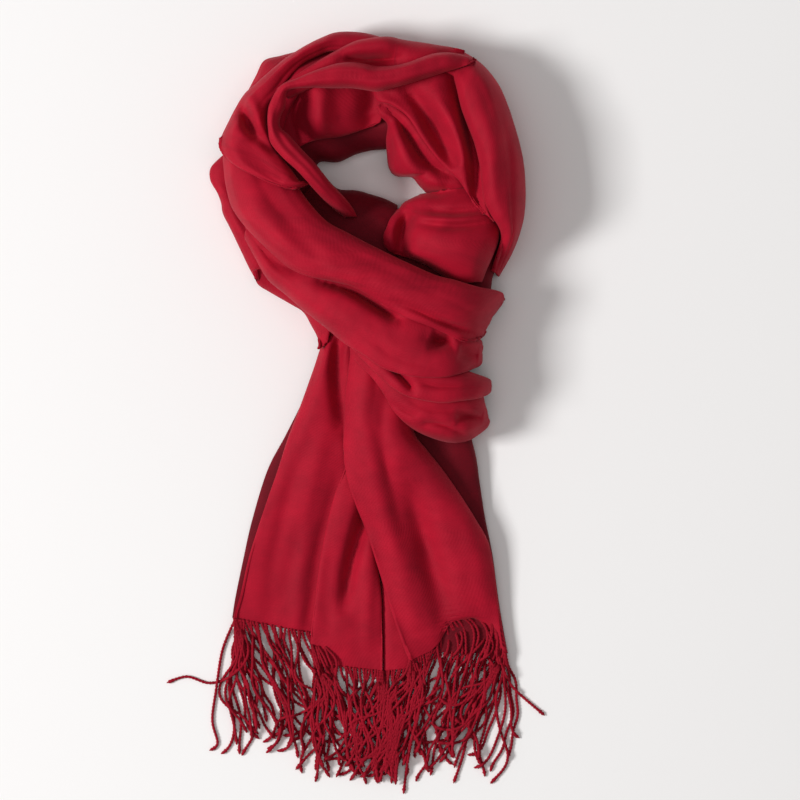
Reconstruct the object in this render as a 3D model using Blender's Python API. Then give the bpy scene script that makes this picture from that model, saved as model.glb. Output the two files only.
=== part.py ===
"""A fringed scarf, doubled, wound into a slip knot and laid flat on a table.

The cloth is cut as one rectangle. It was folded in half, the folded end was laid round
as a neck ring, and both tails were pulled through it. Each stretch of cloth that shows
is a wall of its own, and the hidden layers are two rounded cores.

Lengths in the tables are millimetres. The table is z = 0, +Y runs from the tails to the
ring, and +X is to the right as one looks down on the scarf.
"""
import math

import bmesh
import bpy
import numpy as np

MM = 0.001
WALL = 1.6              # thickness of every stretch's wall, mm
GAP = 0.2               # clear height between one layer and the next, mm
FLOOR_GAP = 0.1         # strands lie this far above the table, mm
BLUNT = 2.3             # exponent of the rounded cross-section, 2 is an ellipse
BOW_SHARE = (0.0, 0.1, 0.24, 0.35, 0.56, 0.72, 0.84, 0.92, 0.97, 1.0)   # across a bowed row
BOW_RISE = (0.0, 0.1, 0.2, 0.41, 0.91, 0.96, 1.0, 0.81, 0.46, 0.0)      # share of its bow
MOST_TWIST = 0.3        # allowance for a twisted facet, mm
CORE_PARTS = 90         # points laid on the height map along each side of a core's facet
WALL_PARTS = 24         # and along each side of a wall's facet
TURN_STEPS = 2          # facets in the part of an edge that is turned under

MAP_X = (-170.0, 170.0)     # the height map's reach across, mm
MAP_Y = (-330.0, 320.0)     # and along, mm
CELL = 1.0                  # its cell, mm
FRINGE_Y = (-320.0, -135.0)     # the part of it that the fringe lies on, mm
FRINGE_CELL = 0.5           # with smaller cells, mm

CRIMSON = (0.37, 0.012, 0.035, 1.0)
DEEP_CRIMSON = (0.20, 0.006, 0.02, 1.0)


# ---------------------------------------------------------------- tables and curves

def table(text):
    """Read a small table: the first line names the columns, each other line is a row."""
    lines = [line.split() for line in text.strip().splitlines()]
    values = np.array([[float(cell) for cell in line] for line in lines[1:]])
    return {name: values[:, column] for column, name in enumerate(lines[0])}


def smooth_rows(values, count):
    """Sample a Catmull-Rom curve through evenly numbered rows at count places."""
    values = np.asarray(values, dtype=float)
    last = len(values) - 1
    place = np.linspace(0.0, last, count)
    start = np.minimum(place.astype(int), last - 1)
    step = place - start
    before = values[np.maximum(start - 1, 0)]
    first = values[start]
    second = values[start + 1]
    after = values[np.minimum(start + 2, last)]
    if values.ndim > 1:
        step = step[:, None]
    return 0.5 * (2.0 * first + (second - before) * step
                  + (2.0 * before - 5.0 * first + 4.0 * second - after) * step ** 2
                  + (3.0 * (first - second) + after - before) * step ** 3)


# ---------------------------------------------------------------- the height map

class HeightMap:
    """The height of everything laid so far, over a grid of square cells."""

    def __init__(self, reach_x, reach_y, cell):
        self.low = (reach_x[0], reach_y[0])
        self.cell = cell
        across = int((reach_x[1] - reach_x[0]) / cell) + 1
        along = int((reach_y[1] - reach_y[0]) / cell) + 1
        self.top = np.zeros((across, along))

    def cells(self, x, y):
        """Cell numbers under the points x, y."""
        column = np.rint((x - self.low[0]) / self.cell).astype(int)
        row = np.rint((y - self.low[1]) / self.cell).astype(int)
        return (np.clip(column, 1, self.top.shape[0] - 2), np.clip(row, 1, self.top.shape[1] - 2))

    def copy_from(self, other):
        """Take over the heights of a map with larger cells."""
        x = self.low[0] + self.cell * np.arange(self.top.shape[0])
        y = self.low[1] + self.cell * np.arange(self.top.shape[1])
        x, y = np.meshgrid(x, y, indexing="ij")
        self.top = other.widened(1)[other.cells(x, y)]

    def lay(self, points):
        """Raise the map to a surface, given as points closer together than a cell."""
        column, row = self.cells(points[:, 0], points[:, 1])
        np.maximum.at(self.top, (column, row), points[:, 2])

    def widened(self, reach):
        """The map with each cell raised to the highest one within reach cells."""
        wide = self.top.copy()
        for across in range(-reach, reach + 1):
            for along in range(-reach, reach + 1):
                if across ** 2 + along ** 2 > (reach + 0.5) ** 2:
                    continue
                wide = np.maximum(wide, np.roll(self.top, (across, along), axis=(0, 1)))
        return wide

    def bound(self, wide, x, y):
        """The least height a cloth's inner face may have at x, y."""
        column, row = self.cells(x, y)
        height = wide[column, row]
        return np.where(height > 0.01, height + GAP, 0.0)


def fill_cells(grid, parts, side):
    """Points at parts x parts places over each cell of a grid, by linear blending.

    A twisted cell is cut into two triangles, which bulge past the blended surface by a
    quarter of its twist at most. The points are moved up (side 1) or down (side -1) by it.
    """
    share = np.linspace(0.0, 1.0, parts)
    along, across = np.meshgrid(share, share, indexing="ij")
    along = along.ravel()[:, None, None, None]
    across = across.ravel()[:, None, None, None]
    low = grid[:-1, :-1] * (1 - across) + grid[:-1, 1:] * across
    high = grid[1:, :-1] * (1 - across) + grid[1:, 1:] * across
    points = low * (1 - along) + high * along
    height = grid[:, :, 2]
    twist = np.abs(height[:-1, :-1] + height[1:, 1:] - height[1:, :-1] - height[:-1, 1:])
    points[:, :, :, 2] += side * np.minimum(0.25 * twist, MOST_TWIST)
    return points.reshape(-1, grid.shape[2])


# ---------------------------------------------------------------- one stretch of cloth

def cross_section(rows, across):
    """Points of the rounded sections: half a blunt ellipse between the widest points.

    Each row gives the widest point on the left (xl, yl, zl), on the right (xr, yr, zr),
    the height of the crown (top), where it stands across the row (lean), and how far the
    row is bowed back towards the start (bow).
    """
    share = 0.5 - 0.5 * np.cos(np.linspace(0.0, math.pi, across + 1))
    share = share[None, :]
    lean = rows["lean"][:, None]
    left_side = share < lean
    away = np.where(left_side, 1.0 - share / lean, (share - lean) / (1.0 - lean))
    rise = (1.0 - np.clip(away, 0.0, 1.0) ** BLUNT) ** (1.0 / BLUNT)
    foot = np.where(left_side, rows["zl"][:, None], rows["zr"][:, None])
    x = rows["xl"][:, None] * (1 - share) + rows["xr"][:, None] * share
    y = rows["yl"][:, None] * (1 - share) + rows["yr"][:, None] * share
    z = foot + (rows["top"][:, None] - foot) * rise
    middle = np.stack([rows["xl"] + rows["xr"], rows["yl"] + rows["yr"]], axis=1) / 2
    way = np.gradient(middle, axis=0)
    way /= np.linalg.norm(way, axis=1)[:, None]
    bow = rows["bow"][:, None] * np.interp(share, BOW_SHARE, BOW_RISE)
    return np.stack([x - way[:, :1] * bow, y - way[:, 1:] * bow, z], axis=2)


def press_fold(points, depth, reach, route):
    """Sink a soft trough of the given depth along a route in plan, or raise a ridge."""
    line = smooth_rows(np.array(route, dtype=float), 24)
    flat = points[:, :, None, :2] - line[None, None, :, :]
    distance = np.linalg.norm(flat, axis=3)
    nearest = distance.argmin(axis=2)
    fade = np.sin(math.pi * np.clip(nearest / 23.0, 0.04, 0.96)) ** 0.6
    points[:, :, 2] -= depth * fade * np.exp(-(distance.min(axis=2) / reach) ** 2)


def cell_need(grid, heights, wide):
    """How far each cell of a surface would have to rise to clear all that is below."""
    parts = 5
    inner = fill_cells(grid, parts, -1)
    need = heights.bound(wide, inner[:, 0], inner[:, 1]) - inner[:, 2]
    need = need.reshape(parts * parts, grid.shape[0] - 1, grid.shape[1] - 1).max(axis=0)
    return np.maximum(need, 0.0)


def corner_lift(need):
    """The greatest need of the cells round each corner."""
    corner = np.zeros((need.shape[0] + 1, need.shape[1] + 1))
    for down in (0, 1):
        for over in (0, 1):
            part = corner[down:down + need.shape[0], over:over + need.shape[1]]
            np.maximum(part, need, out=part)
    return corner


def settle(points, heights):
    """Raise a surface until it lies clear of all that is below it."""
    wide = heights.widened(2)
    lift = np.zeros(points.shape[:2])
    for _ in range(8):
        raised = points.copy()
        raised[:, :, 2] += lift
        corner = corner_lift(cell_need(raised, heights, wide))
        if corner.max() < 0.02:
            break
        lift += corner
        lift = np.maximum(lift, blurred(lift))
    points[:, :, 2] += lift


def clear_wall(grid, turned_left, turned_right, heights):
    """Raise a laid surface until both faces of its wall clear all that is below."""
    wide = heights.widened(1)
    last = grid.shape[1] - 1
    for _ in range(12):
        outer = outer_face(grid)
        need = np.maximum(cell_need(grid, heights, wide), cell_need(outer, heights, wide))
        if need.max() < 0.02:
            break
        grid[:, :, 2] += corner_lift(need)
        for column in range(turned_left):
            grid[:, column + 1, 2] = np.maximum(grid[:, column + 1, 2], grid[:, column, 2] + 0.3)
        for column in range(turned_right):
            here = last - column
            grid[:, here - 1, 2] = np.maximum(grid[:, here - 1, 2], grid[:, here, 2] + 0.3)


def outer_face(inner):
    """The cloth's outer face: each point moved out by the wall's thickness."""
    normal = normals_of(inner)
    if normal[:, normal.shape[1] // 2, 2].mean() < 0:
        normal = -normal
    return inner + WALL * normal


def blurred(field):
    """A 1-2-1 average in both directions, with the borders repeated."""
    padded = np.pad(field, 1, mode="edge")
    rows = 0.25 * padded[:-2] + 0.5 * padded[1:-1] + 0.25 * padded[2:]
    return 0.25 * rows[:, :-2] + 0.5 * rows[:, 1:-1] + 0.25 * rows[:, 2:]


def turned_edge(edge, next_in, run, heights, wide):
    """The columns of cloth that turn under an edge, down to what lies below it."""
    inward = next_in[:, :2] - edge[:, :2]
    inward /= np.maximum(np.linalg.norm(inward, axis=1), 0.5)[:, None]
    columns = []
    foot = edge[:, :2] + inward * run[:, None]
    rest = heights.bound(wide, foot[:, 0], foot[:, 1]) + WALL
    edge[:, 2] = np.maximum(edge[:, 2], rest + 0.6 * np.minimum(run, 3.0))
    for step in range(1, TURN_STEPS + 1):
        angle = 0.5 * math.pi * step / TURN_STEPS
        place = edge[:, :2] + inward * (run * (1 - math.cos(angle)))[:, None]
        height = edge[:, 2] - (edge[:, 2] - rest) * math.sin(angle)
        floor = heights.bound(wide, place[:, 0], place[:, 1]) + WALL
        columns.append(np.column_stack([place, np.maximum(height, floor)]))
    return columns


def normals_of(points):
    """Unit normals of a grid surface."""
    along = np.gradient(points, axis=0)
    across = np.gradient(points, axis=1)
    normal = np.cross(along, across)
    normal /= np.maximum(np.linalg.norm(normal, axis=2), 1e-9)[:, :, None]
    return normal


def cloth_surface(spec, heights):
    """The inner face of one stretch, laid on everything below it."""
    rows = table(spec["rows"])
    rows.setdefault("lean", np.full(len(rows["xl"]), 0.5))
    rows.setdefault("bow", np.zeros(len(rows["xl"])))
    rows.setdefault("tl", np.zeros(len(rows["xl"])))
    rows.setdefault("tr", np.zeros(len(rows["xl"])))
    rows = {name: smooth_rows(values, spec["along"] + 1) for name, values in rows.items()}
    rows["lean"] = np.clip(rows["lean"], 0.08, 0.92)
    points = cross_section(rows, spec["across"])
    for depth, reach, route in spec.get("folds", ()):
        press_fold(points, depth, reach, route)
    settle(points, heights)
    wide = heights.widened(2)
    columns = [points[:, column] for column in range(points.shape[1])]
    turned_left = TURN_STEPS if rows["tl"].max() > 0.5 else 0
    turned_right = TURN_STEPS if rows["tr"].max() > 0.5 else 0
    if turned_left:
        run = np.maximum(rows["tl"], 0.5)
        turned = turned_edge(columns[0], columns[1], run, heights, wide)
        columns = turned[::-1] + columns
    if turned_right:
        run = np.maximum(rows["tr"], 0.5)
        turned = turned_edge(columns[-1], columns[-2], run, heights, wide)
        columns = columns + turned
    grid = np.stack(columns, axis=1)
    clear_wall(grid, turned_left, turned_right, heights)
    return grid


def cloth_wall(name, spec, heights):
    """A closed wall: the laid surface, the same moved out by WALL, and a rim."""
    inner = cloth_surface(spec, heights)
    outer = outer_face(inner)
    outer[:, :, 2] = np.maximum(outer[:, :, 2], 0.0)
    heights.lay(fill_cells(outer, WALL_PARTS, 1))
    make_sheet(name, inner, outer)
    return outer


def make_sheet(name, low, high):
    """One closed mesh from two grids of the same size."""
    count_a, count_b = low.shape[:2]
    vertices = np.concatenate([low.reshape(-1, 3), high.reshape(-1, 3)]) * MM
    index = np.arange(count_a * count_b).reshape(count_a, count_b)
    size = count_a * count_b
    faces = []
    for a in range(count_a - 1):
        for b in range(count_b - 1):
            loop = [index[a, b], index[a + 1, b], index[a + 1, b + 1], index[a, b + 1]]
            faces.append([corner + size for corner in loop])
            faces.append(loop[::-1])
    border = [(a, 0) for a in range(count_a)]
    border += [(count_a - 1, b) for b in range(1, count_b)]
    border += [(a, count_b - 1) for a in range(count_a - 2, -1, -1)]
    border += [(0, b) for b in range(count_b - 2, 0, -1)]
    for here, there in zip(border, border[1:] + border[:1]):
        first = index[here]
        second = index[there]
        faces.append([first, second, second + size, first + size])
    add_object(name, vertices, faces, CRIMSON)


def add_object(name, vertices, faces, colour):
    """A named object with its own cloth material, at the origin."""
    mesh = bpy.data.meshes.new(name)
    mesh.from_pydata([tuple(point) for point in vertices], [], [list(map(int, face)) for face in faces])
    mesh.validate()
    piece = bpy.data.objects.new(name, mesh)
    bpy.context.scene.collection.objects.link(piece)
    material = bpy.data.materials.new(name + "_twill")
    material.use_nodes = True
    shader = material.node_tree.nodes["Principled BSDF"]
    shader.inputs["Base Color"].default_value = colour
    shader.inputs["Roughness"].default_value = 0.85
    shader.inputs["Metallic"].default_value = 0.0
    mesh.materials.append(material)
    face_outwards(piece)
    mesh.shade_smooth()
    mesh.set_sharp_from_angle(angle=math.radians(50))
    return piece


def face_outwards(piece):
    """Turn all faces of a closed mesh outwards and cut them into triangles."""
    work = bmesh.new()
    work.from_mesh(piece.data)
    bmesh.ops.triangulate(work, faces=work.faces)
    bmesh.ops.recalc_face_normals(work, faces=work.faces)
    if work.calc_volume(signed=True) < 0:
        bmesh.ops.reverse_faces(work, faces=work.faces)
    work.to_mesh(piece.data)
    work.free()


# ---------------------------------------------------------------- the hidden layers

RING_CENTRE = (15.0, 183.0)

# Hidden layers of the ring and knot, all round the neck hole: the angle in degrees, the
# inner and outer radius from RING_CENTRE and the height of the crown.
RING_CORE = """
angle  inner outer top
0      50    100   30
20     40    102   32
40     36    99    32
60     38    92    32
80     44    94    30
100    46    96    30
120    46    94    30
140    50    90    30
160    56    92    28
180    54    94    28
200    46    92    28
220    36    82    30
240    30    92    32
255    30    112   34
270    32    136   36
285    34    168   36
295    38    166   36
305    44    140   36
320    50    118   34
340    56    104   32
"""

# Hidden layers of the tails: left and right edges and the height, from knot to hem.
TAIL_CORE = """
xl   yl    xr   yr    top
18.2 43.4  53.5 22.1  12
-20  24    50   2     13
-30  0     66  -22   13
-40  -24   76  -46   11
-50  -50   84  -72   9
-58  -76   90  -98   7
-66  -104  94  -124  5.5
-72  -130  97  -146  4.5
"""
CORE_LAYERS = 3
LAYER_STEP = 1.2


def layered_side(share):
    """How far a core's side stands out at a share of its height: one bulge a layer."""
    return LAYER_STEP * abs(math.sin(math.pi * CORE_LAYERS * share))


def ring_core(heights):
    """A flat-bottomed rounded ring whose sides show the edges of three layers."""
    rows = table(RING_CORE)
    angles = np.radians(rows["angle"])
    inner, outer, top = rows["inner"], rows["outer"], rows["top"]
    side = np.linspace(0.0, 0.62, 4)
    crown = np.array([0.25, 0.5, 0.75])
    loop = []
    for share in side:
        loop.append((inner - layered_side(share) + 1.0 * share, share * top))
    for share in crown:
        rise = 0.62 + 0.38 * math.sin(math.pi * share) ** 0.5
        loop.append((inner + (outer - inner) * share, rise * top))
    for share in side[::-1]:
        loop.append((outer + layered_side(share) - 1.0 * share, share * top))
    radius = np.stack([pair[0] for pair in loop], axis=1)
    height = np.stack([pair[1] for pair in loop], axis=1)
    x = RING_CENTRE[0] + radius * np.cos(angles)[:, None]
    y = RING_CENTRE[1] + radius * np.sin(angles)[:, None]
    grid = np.stack([x, y, height], axis=2)
    closed = np.concatenate([grid, grid[:1]], axis=0)
    heights.lay(fill_cells(closed, CORE_PARTS, 1))
    count, points = grid.shape[:2]
    faces = []
    for a in range(count):
        for b in range(points):
            c = (a + 1) % count
            d = (b + 1) % points
            faces.append([a * points + b, c * points + b, c * points + d, a * points + d])
    add_object("ring_core", grid.reshape(-1, 3) * MM, faces, DEEP_CRIMSON)


def tail_core(heights):
    """The low flat-bottomed solid that the tails' hidden layers share."""
    rows = {name: smooth_rows(values, 15) for name, values in table(TAIL_CORE).items()}
    share = np.array([0.0, 0.02, 0.15, 0.5, 0.85, 0.98, 1.0])
    rise = np.array([0.0, 0.5, 0.9, 1.0, 0.9, 0.5, 0.0])
    x = rows["xl"][:, None] * (1 - share) + rows["xr"][:, None] * share
    y = rows["yl"][:, None] * (1 - share) + rows["yr"][:, None] * share
    z = rows["top"][:, None] * rise
    grid = np.stack([x, y, z], axis=2)
    heights.lay(fill_cells(grid, CORE_PARTS, 1))
    count, points = grid.shape[:2]
    faces = []
    for a in range(count - 1):
        for b in range(points):
            d = (b + 1) % points
            faces.append([a * points + b, (a + 1) * points + b, (a + 1) * points + d, a * points + d])
    faces.append(list(range(points)))
    faces.append([(count - 1) * points + b for b in range(points)][::-1])
    add_object("tail_core", grid.reshape(-1, 3) * MM, faces, DEEP_CRIMSON)


# ---------------------------------------------------------------- the stretches that show
# Each stretch lies on those before it. Columns: the widest point on the left and right
# (x, y, z), how far each edge turns under (tl, tr), the crown's height (top), where it
# stands across (lean) and the bow of the row in plan. Folds are depth, reach, route.

STRETCHES = {}

STRETCHES["tail_under_left"] = {
    "along": 9, "across": 6,
    "rows": """
xl   yl    zl   tl  xr   yr    zr  top
-20  60    5    3   0    60    8   12
-29  40    6    3   2    36    8   14
-41  12    6    3   0    8     8   14
-55  -16   5    3   -4   -22   8   12
-69  -43   5    3   -8   -52   7   10
-81  -82   4.5  3   -12  -90   6   9
-88  -113  4    2   -14  -120  4   7
-94  -142  3.5  2   -16  -146  3   5
-95.5 -153 3    2   -18  -160  2   4
"""}

STRETCHES["tail_under_right"] = {
    "along": 9, "across": 6,
    "rows": """
xl  yl    zl  xr    yr    zr   tr  top
30  24    8   78    14    8    3   16
30  0     8   87    -14   8    3   20
28  -24   8   92    -33   8    3   18
26  -50   7   95    -54   7    3   14
26  -80   6   99    -80   6    3   11
28  -110  5   105   -110  5    3   9
32  -140  4   109   -140  4    2   7
36  -165  3   113   -165  3.5  2   5
40  -184  1   117   -186  3    2   4
"""}

STRETCHES["tail_front_left"] = {
    "along": 11, "across": 8,
    "rows": """
xl   yl    zl  tl  xr   yr    zr  top  lean
-14  76    14  2   6    74    16  26   0.4
-26  56    14  2   2    54    18  33   0.4
-33  36    14  2   0    34    18  34   0.4
-43  8     12  2   0    6     18  32   0.4
-53  -18   10  2   2    -18   16  27   0.4
-61  -43   8   2   4    -43   14  22   0.4
-69  -66   7   2   -4   -66   11  18   0.4
-77  -90   6   2   -11  -90   8   15   0.4
-84  -113  5   2   -16  -113  6   12   0.4
-90  -140  4   2   -20  -138  4   9    0.4
-94  -153  3   2   -23  -158  3   7    0.4
-95  -159  2   2   -25  -172  2   5    0.4
""",
    "folds": [(8.0, 7.0, [(-14, 66), (-14, 30), (-12, -12)])]}

STRETCHES["tail_narrow"] = {
    "along": 5, "across": 4,
    "rows": """
xl    yl    zl   tl  xr  yr    zr  top  lean
20.5  -112  7    1   34  -116  7   11   0.4
21.5  -140  6    1   41  -142  6   10   0.35
22    -165  5    1   46  -164  5   9    0.35
22.6  -184  4    1   50  -180  3   7    0.35
22.6  -199  2    1   43  -197  2   5    0.35
"""}

STRETCHES["tail_middle"] = {
    "along": 9, "across": 9,
    "rows": """
xl   yl    zl  tl  xr    yr    zr  tr  top  lean
-4   -28   20  1   8     -34   18  1   25   0.5
-10  -45   19  1   10    -50   18  1   25   0.5
-16  -60   18  1   13    -66   16  1   24   0.5
-22  -82   15  1   14    -88   13  1   21   0.5
-28  -113  11  1   17    -115  10  1   18   0.5
-32  -144  8   1   20    -142  8   1   15   0.5
-35  -168  6   1   20.5  -168  6   1   12   0.5
-35  -184  4   1   21    -188  4   1   8    0.5
-31  -194  2   1   20.5  -200  2   1   5    0.5
""",
    "folds": [(8.0, 7.0, [(6, -78), (-4, -108), (-9, -146)])]}

STRETCHES["tail_front_right"] = {
    "along": 13, "across": 9,
    "rows": """
xl    yl    zl  tl  xr    yr    zr  tr  top  lean  bow
-4    60    22  2   30    40    22  2   42   0.4   0
-3    46    24  2   36    22    24  2   46   0.4   0
-6    24    24  2   44    4     22  2   48   0.4   0
-7.5  6     23  2   44    -14   20  2   48   0.4   0
-8    -12   22  2   54    -28   18  2   46   0.4   0
-8    -31   20  2   66    -43   16  2   42   0.4   0
-4.7  -51   18  2   80    -63   14  2   36   0.35  0
1.6   -70   16  2   92    -82   11  2   31   0.3   0
8     -86   15  2   101   -98   9   2   27   0.3   0
14    -104  13  2   105   -114  8   2   23   0.3   0
21    -126  11  2   108   -134  7   2   19   0.3   0
28    -150  9   2   110.5 -152  6   2   15   0.3   4
34    -168  7   2   113   -168  5   2   12   0.3   14
39    -182  5   2   115.5 -180  4   2   9    0.3   26
43    -191  3   2   117   -187  3   2   6    0.3   34
""",
    "folds": [(7.0, 15.0, [(56, -70), (66, -113), (74, -150), (70, -180)]),
              (-3.0, 9.0, [(90, -90), (98, -120), (102, -150)])]}

STRETCHES["back_edge_upper"] = {
    "along": 10, "across": 6,
    "rows": """
xl      yl     zl  tl  xr   yr   zr  top  lean
-103    203    9   3   -80  202  14  18   0.4
-113    193    8   3   -82  190  14  18   0.4
-113.5  183    8   3   -84  180  14  17   0.4
-108    173    10  4   -84  170  16  20   0.4
-105    165    12  5   -82  162  18  24   0.4
-103.5  156.5  12  5   -78  152  18  25   0.4
-97.5   144.5  12  5   -72  140  18  25   0.4
-89.5   127.7  11  5   -64  128  16  24   0.4
-83.5   115    10  5   -57  118  14  22   0.4
-79     107    8   4   -52  112  12  18   0.4
"""}

STRETCHES["back_edge_lower"] = {
    "along": 9, "across": 5,
    "rows": """
xl     yl    zl  tl  xr   yr   zr  top
-79.5  112   7   3   -58  124  12  14
-76.5  102   7   3   -50  114  12  16
-66    95    7   3   -40  106  12  18
-50.7  86.2  8   3   -28  100  12  20
-41    80    8   3   -18  90   14  22
-35    70    9   3   -14  78   14  24
-29.8  60    10  3   -18  70   12  20
-28.5  51.5  9   2   -24  60   10  16
"""}

STRETCHES["ring_inner_left"] = {
    "along": 7, "across": 5,
    "rows": """
xl   yl   zl  tl  xr   yr   zr  top  lean
-32  190  6   3   -50  206  20  18   0.6
-28  197  6   3   -40  216  22  20   0.6
-14  197  5   3   -20  224  24  20   0.6
0    203  5   3   -2   232  24  20   0.6
12   206  5   3   12   236  24  18   0.6
26   207  6   3   26   238  24  18   0.6
"""}

STRETCHES["ring_inner_lower"] = {
    "along": 7, "across": 6,
    "rows": """
xl   yl     zl  tl  xr   yr   zr  top  lean
-26  186    6   3   -48  165  24  24   0.6
-15  175    6   3   -35  150  24  26   0.6
0    173.5  6   3   -14  138  24  26   0.6
11   170.5  6   3   2    130  24  26   0.6
22   167    6   3   16   124  24  26   0.6
32   162    6   3   30   118  24  26   0.6
"""}

STRETCHES["ring_inner_wall"] = {
    "along": 10, "across": 8,
    "rows": """
xl   yl   zl  tl  xr   yr   zr  top  lean
-62  222  20  1   -70  244  38  40   0.8
-48  208  20  1   -60  258  42  44   0.8
-38  211  20  1   -46  264  44  48   0.8
-27  214  22  1   -28  265  48  54   0.8
-12  216  20  1   -10  265  44  48   0.8
4    221  18  1   8    264  40  42   0.8
19   227  18  1   26   264  38  40   0.8
""",
    "folds": [(-6.0, 9.0, [(-28, 216), (-27, 232), (-26, 250)]),
              (6.0, 9.0, [(-46, 212), (-50, 228), (-50, 246)]),
              (6.0, 8.0, [(10, 224), (12, 238), (12, 250)])]}

STRETCHES["upper_left_flap"] = {
    "along": 13, "across": 5,
    "rows": """
xl     yl     zl  tl  xr   yr   zr  top
-94    236    8   3   -78  226  12  15
-86    249    9   3   -70  239  12  16
-78    264    9   3   -62  253  13  17
-71.5  276    9   3   -56  263  14  18
-58    280    9   3   -46  267  14  18
-42    284.5  10  3   -34  272  14  18
-26    291    11  3   -20  279  14  18
-8     295.5  11  3   -5   283  14  18
8      295    11  3   6    282  14  18
24     290.5  11  3   20   278  14  18
42     287    11  3   40   275  14  18
60     284.5  11  3   57   272  14  18
74     281.5  10  3   70   269  12  16
84     276.5  8   3   79   265  9   13
"""}

STRETCHES["upper_left_gusset"] = {
    "along": 8, "across": 4,
    "rows": """
xl   yl   zl  xr   yr   zr  top
-78  212  33  -58  208  33  38
-78  230  33  -56  228  33  38
-71  248  33  -50  242  33  38
-58  264  33  -40  256  33  38
-42  276  33  -26  266  33  38
-24  284  30  -12  272  33  38
-2   286  28  2    274  32  37
20   286  26  20   276  32  36
"""}

STRETCHES["ring_inner_right"] = {
    "along": 11, "across": 7,
    "rows": """
xl    yl     zl  tl  xr  yr   zr  top  lean
17    240    30  1   26  247  34  40   0.5
20    233    24  2   34  237  38  44   0.45
26    226    16  3   44  228  40  46   0.4
25    214    10  4   54  216  40  47   0.38
25.5  204    8   4   62  207  40  47   0.35
27    193    8   4   68  200  40  47   0.35
32    187.5  8   4   74  194  40  46   0.4
44    186.5  8   4   79  190  40  46   0.4
50    180    8   4   84  185  40  46   0.4
56    174    10  3   87  178  38  44   0.4
62    169    16  2   88  170  34  40   0.4
"""}

STRETCHES["ring_pillow"] = {
    "along": 11, "across": 8,
    "rows": """
xl   yl     zl  tl  xr   yr   zr  top  lean
50   172    8   4   100  178  38  44   0.6
38   166    8   4   103  168  42  50   0.6
33   160    8   4   107  158  44  56   0.6
27   153    10  3   110  150  44  61   0.55
24   146    14  2   111.5 142 42  64   0.55
21   137    16  2   110.5 134 40  66   0.55
26   127    18  2   107.5 126 38  66   0.6
48   119    26  2   104  118  36  64   0.5
64   110    30  2   101  111  32  59   0.5
72   101    28  2   98   103  28  50   0.5
""",
    "folds": [(20.0, 6.0, [(42, 154), (37, 143), (37, 128)]),
              (4.0, 3.5, [(50, 148), (80, 146), (108, 150)]),
              (5.0, 4.0, [(58, 158), (76, 157), (96, 158)]),
              (8.0, 5.0, [(58, 174), (66, 173), (74, 178)])]}

STRETCHES["ring_right_throat"] = {
    "along": 10, "across": 7,
    "rows": """
xl    yl   zl  tl  xr   yr   zr  top  lean
13    257  36  1   84   272  36  50   0.6
15.6  244  38  2   85   258  44  54   0.6
27    240  44  3   87   248  46  57   0.6
40    231  50  3   89   237  48  60   0.6
51    214  54  3   92   224  50  62   0.6
62.6  199  56  3   96   209  50  63   0.6
73    188  56  3   99   196  50  63   0.6
80    181  55  2   101  182  50  62   0.55
83    171  54  2   102  168  48  62   0.5
82    161  52  1   100  156  46  62   0.5
""",
    "folds": [(13.0, 8.0, [(40, 254), (57, 229), (70, 206), (80, 192)])]}

STRETCHES["ring_right_band"] = {
    "along": 15, "across": 7,
    "rows": """
xl   yl   zl  tl  xr     yr    zr  tr  top  lean
76   264  40  2   87     278.5 20  4   46   0.5
78   259  48  3   98.5   270   18  8   60   0.45
80   251  52  3   109.5  256   20  9   67   0.45
83   238  54  3   117    239   20  9   70   0.4
88   224  55  3   122    224   20  9   72   0.4
93   211  56  3   125.7  211   20  9   73   0.35
97   195  56  3   129    195   20  9   73   0.3
98.8 180  56  3   130.3  179   20  9   73   0.3
101  166  56  2   130.3  166   20  9   72   0.3
106  155  52  1   129    153   18  8   69   0.35
112  146  44  1   126.5  143   16  6   62   0.45
114  138  36  1   123.5  134   13  4   53   0.5
112  129  27  1   119.5  125   10  3   41   0.5
109  120  17  1   114.5  116   7   2   27   0.5
106.5 112 8   1   110    108.5 3   1   13   0.5
""",
    "folds": [(3.0, 6.0, [(114, 232), (117, 200), (118, 168)])]}

STRETCHES["knot_band_lowest"] = {
    "along": 11, "across": 6,
    "rows": """
xl   yl  zl  xr    yr     zr  tr  top  lean
8    56  40  0     44     44  2   52   0.5
20   46  40  12    32     44  2   55   0.5
34   36  40  21.5  19.5   42  2   58   0.5
48   30  40  31.5  3      38  3   60   0.5
60   26  40  44.5  -9     34  4   61   0.5
72   24  40  60    -16.5  28  6   60   0.5
84   22  38  74    -20    24  6   57   0.5
92   19  32  85.5  -19    20  6   50   0.5
97   15  24  94    -14.5  16  5   39   0.5
98.5 11  13  101   -9     10  4   24   0.5
98.5 7   5   103   -5     5   2   10   0.5
""",
    "folds": [(6.0, 3.5, [(54, -5), (66, -6), (84, -14)]),
              (9.0, 4.5, [(80, -2), (88, -2), (97, -1)])]}

STRETCHES["knot_band_lower"] = {
    "along": 11, "across": 5,
    "rows": """
xl     yl  zl  xr     yr    zr  tr  top  lean
4      66  46  -4     55    46  2   55   0.5
18     56  46  8      42.5  48  2   59   0.5
34     48  46  24     27    50  3   63   0.5
48     44  46  37     17.5  50  3   66   0.5
62     42  46  52     13    50  3   67   0.5
76     37  46  68     11    48  3   66   0.5
86     33  42  81.5   12.5  44  3   61   0.5
94.5   30  34  93     14    36  3   52   0.5
100.5  28  22  100.5  16.5  24  2   38   0.5
103.5  26.5 12 103.5  18.5  12  1   22   0.5
104    25  4   104    20.5  4   1   9    0.5
""",
    "folds": [(10.0, 4.0, [(29, 36), (37, 27), (43, 20)])]}

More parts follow.
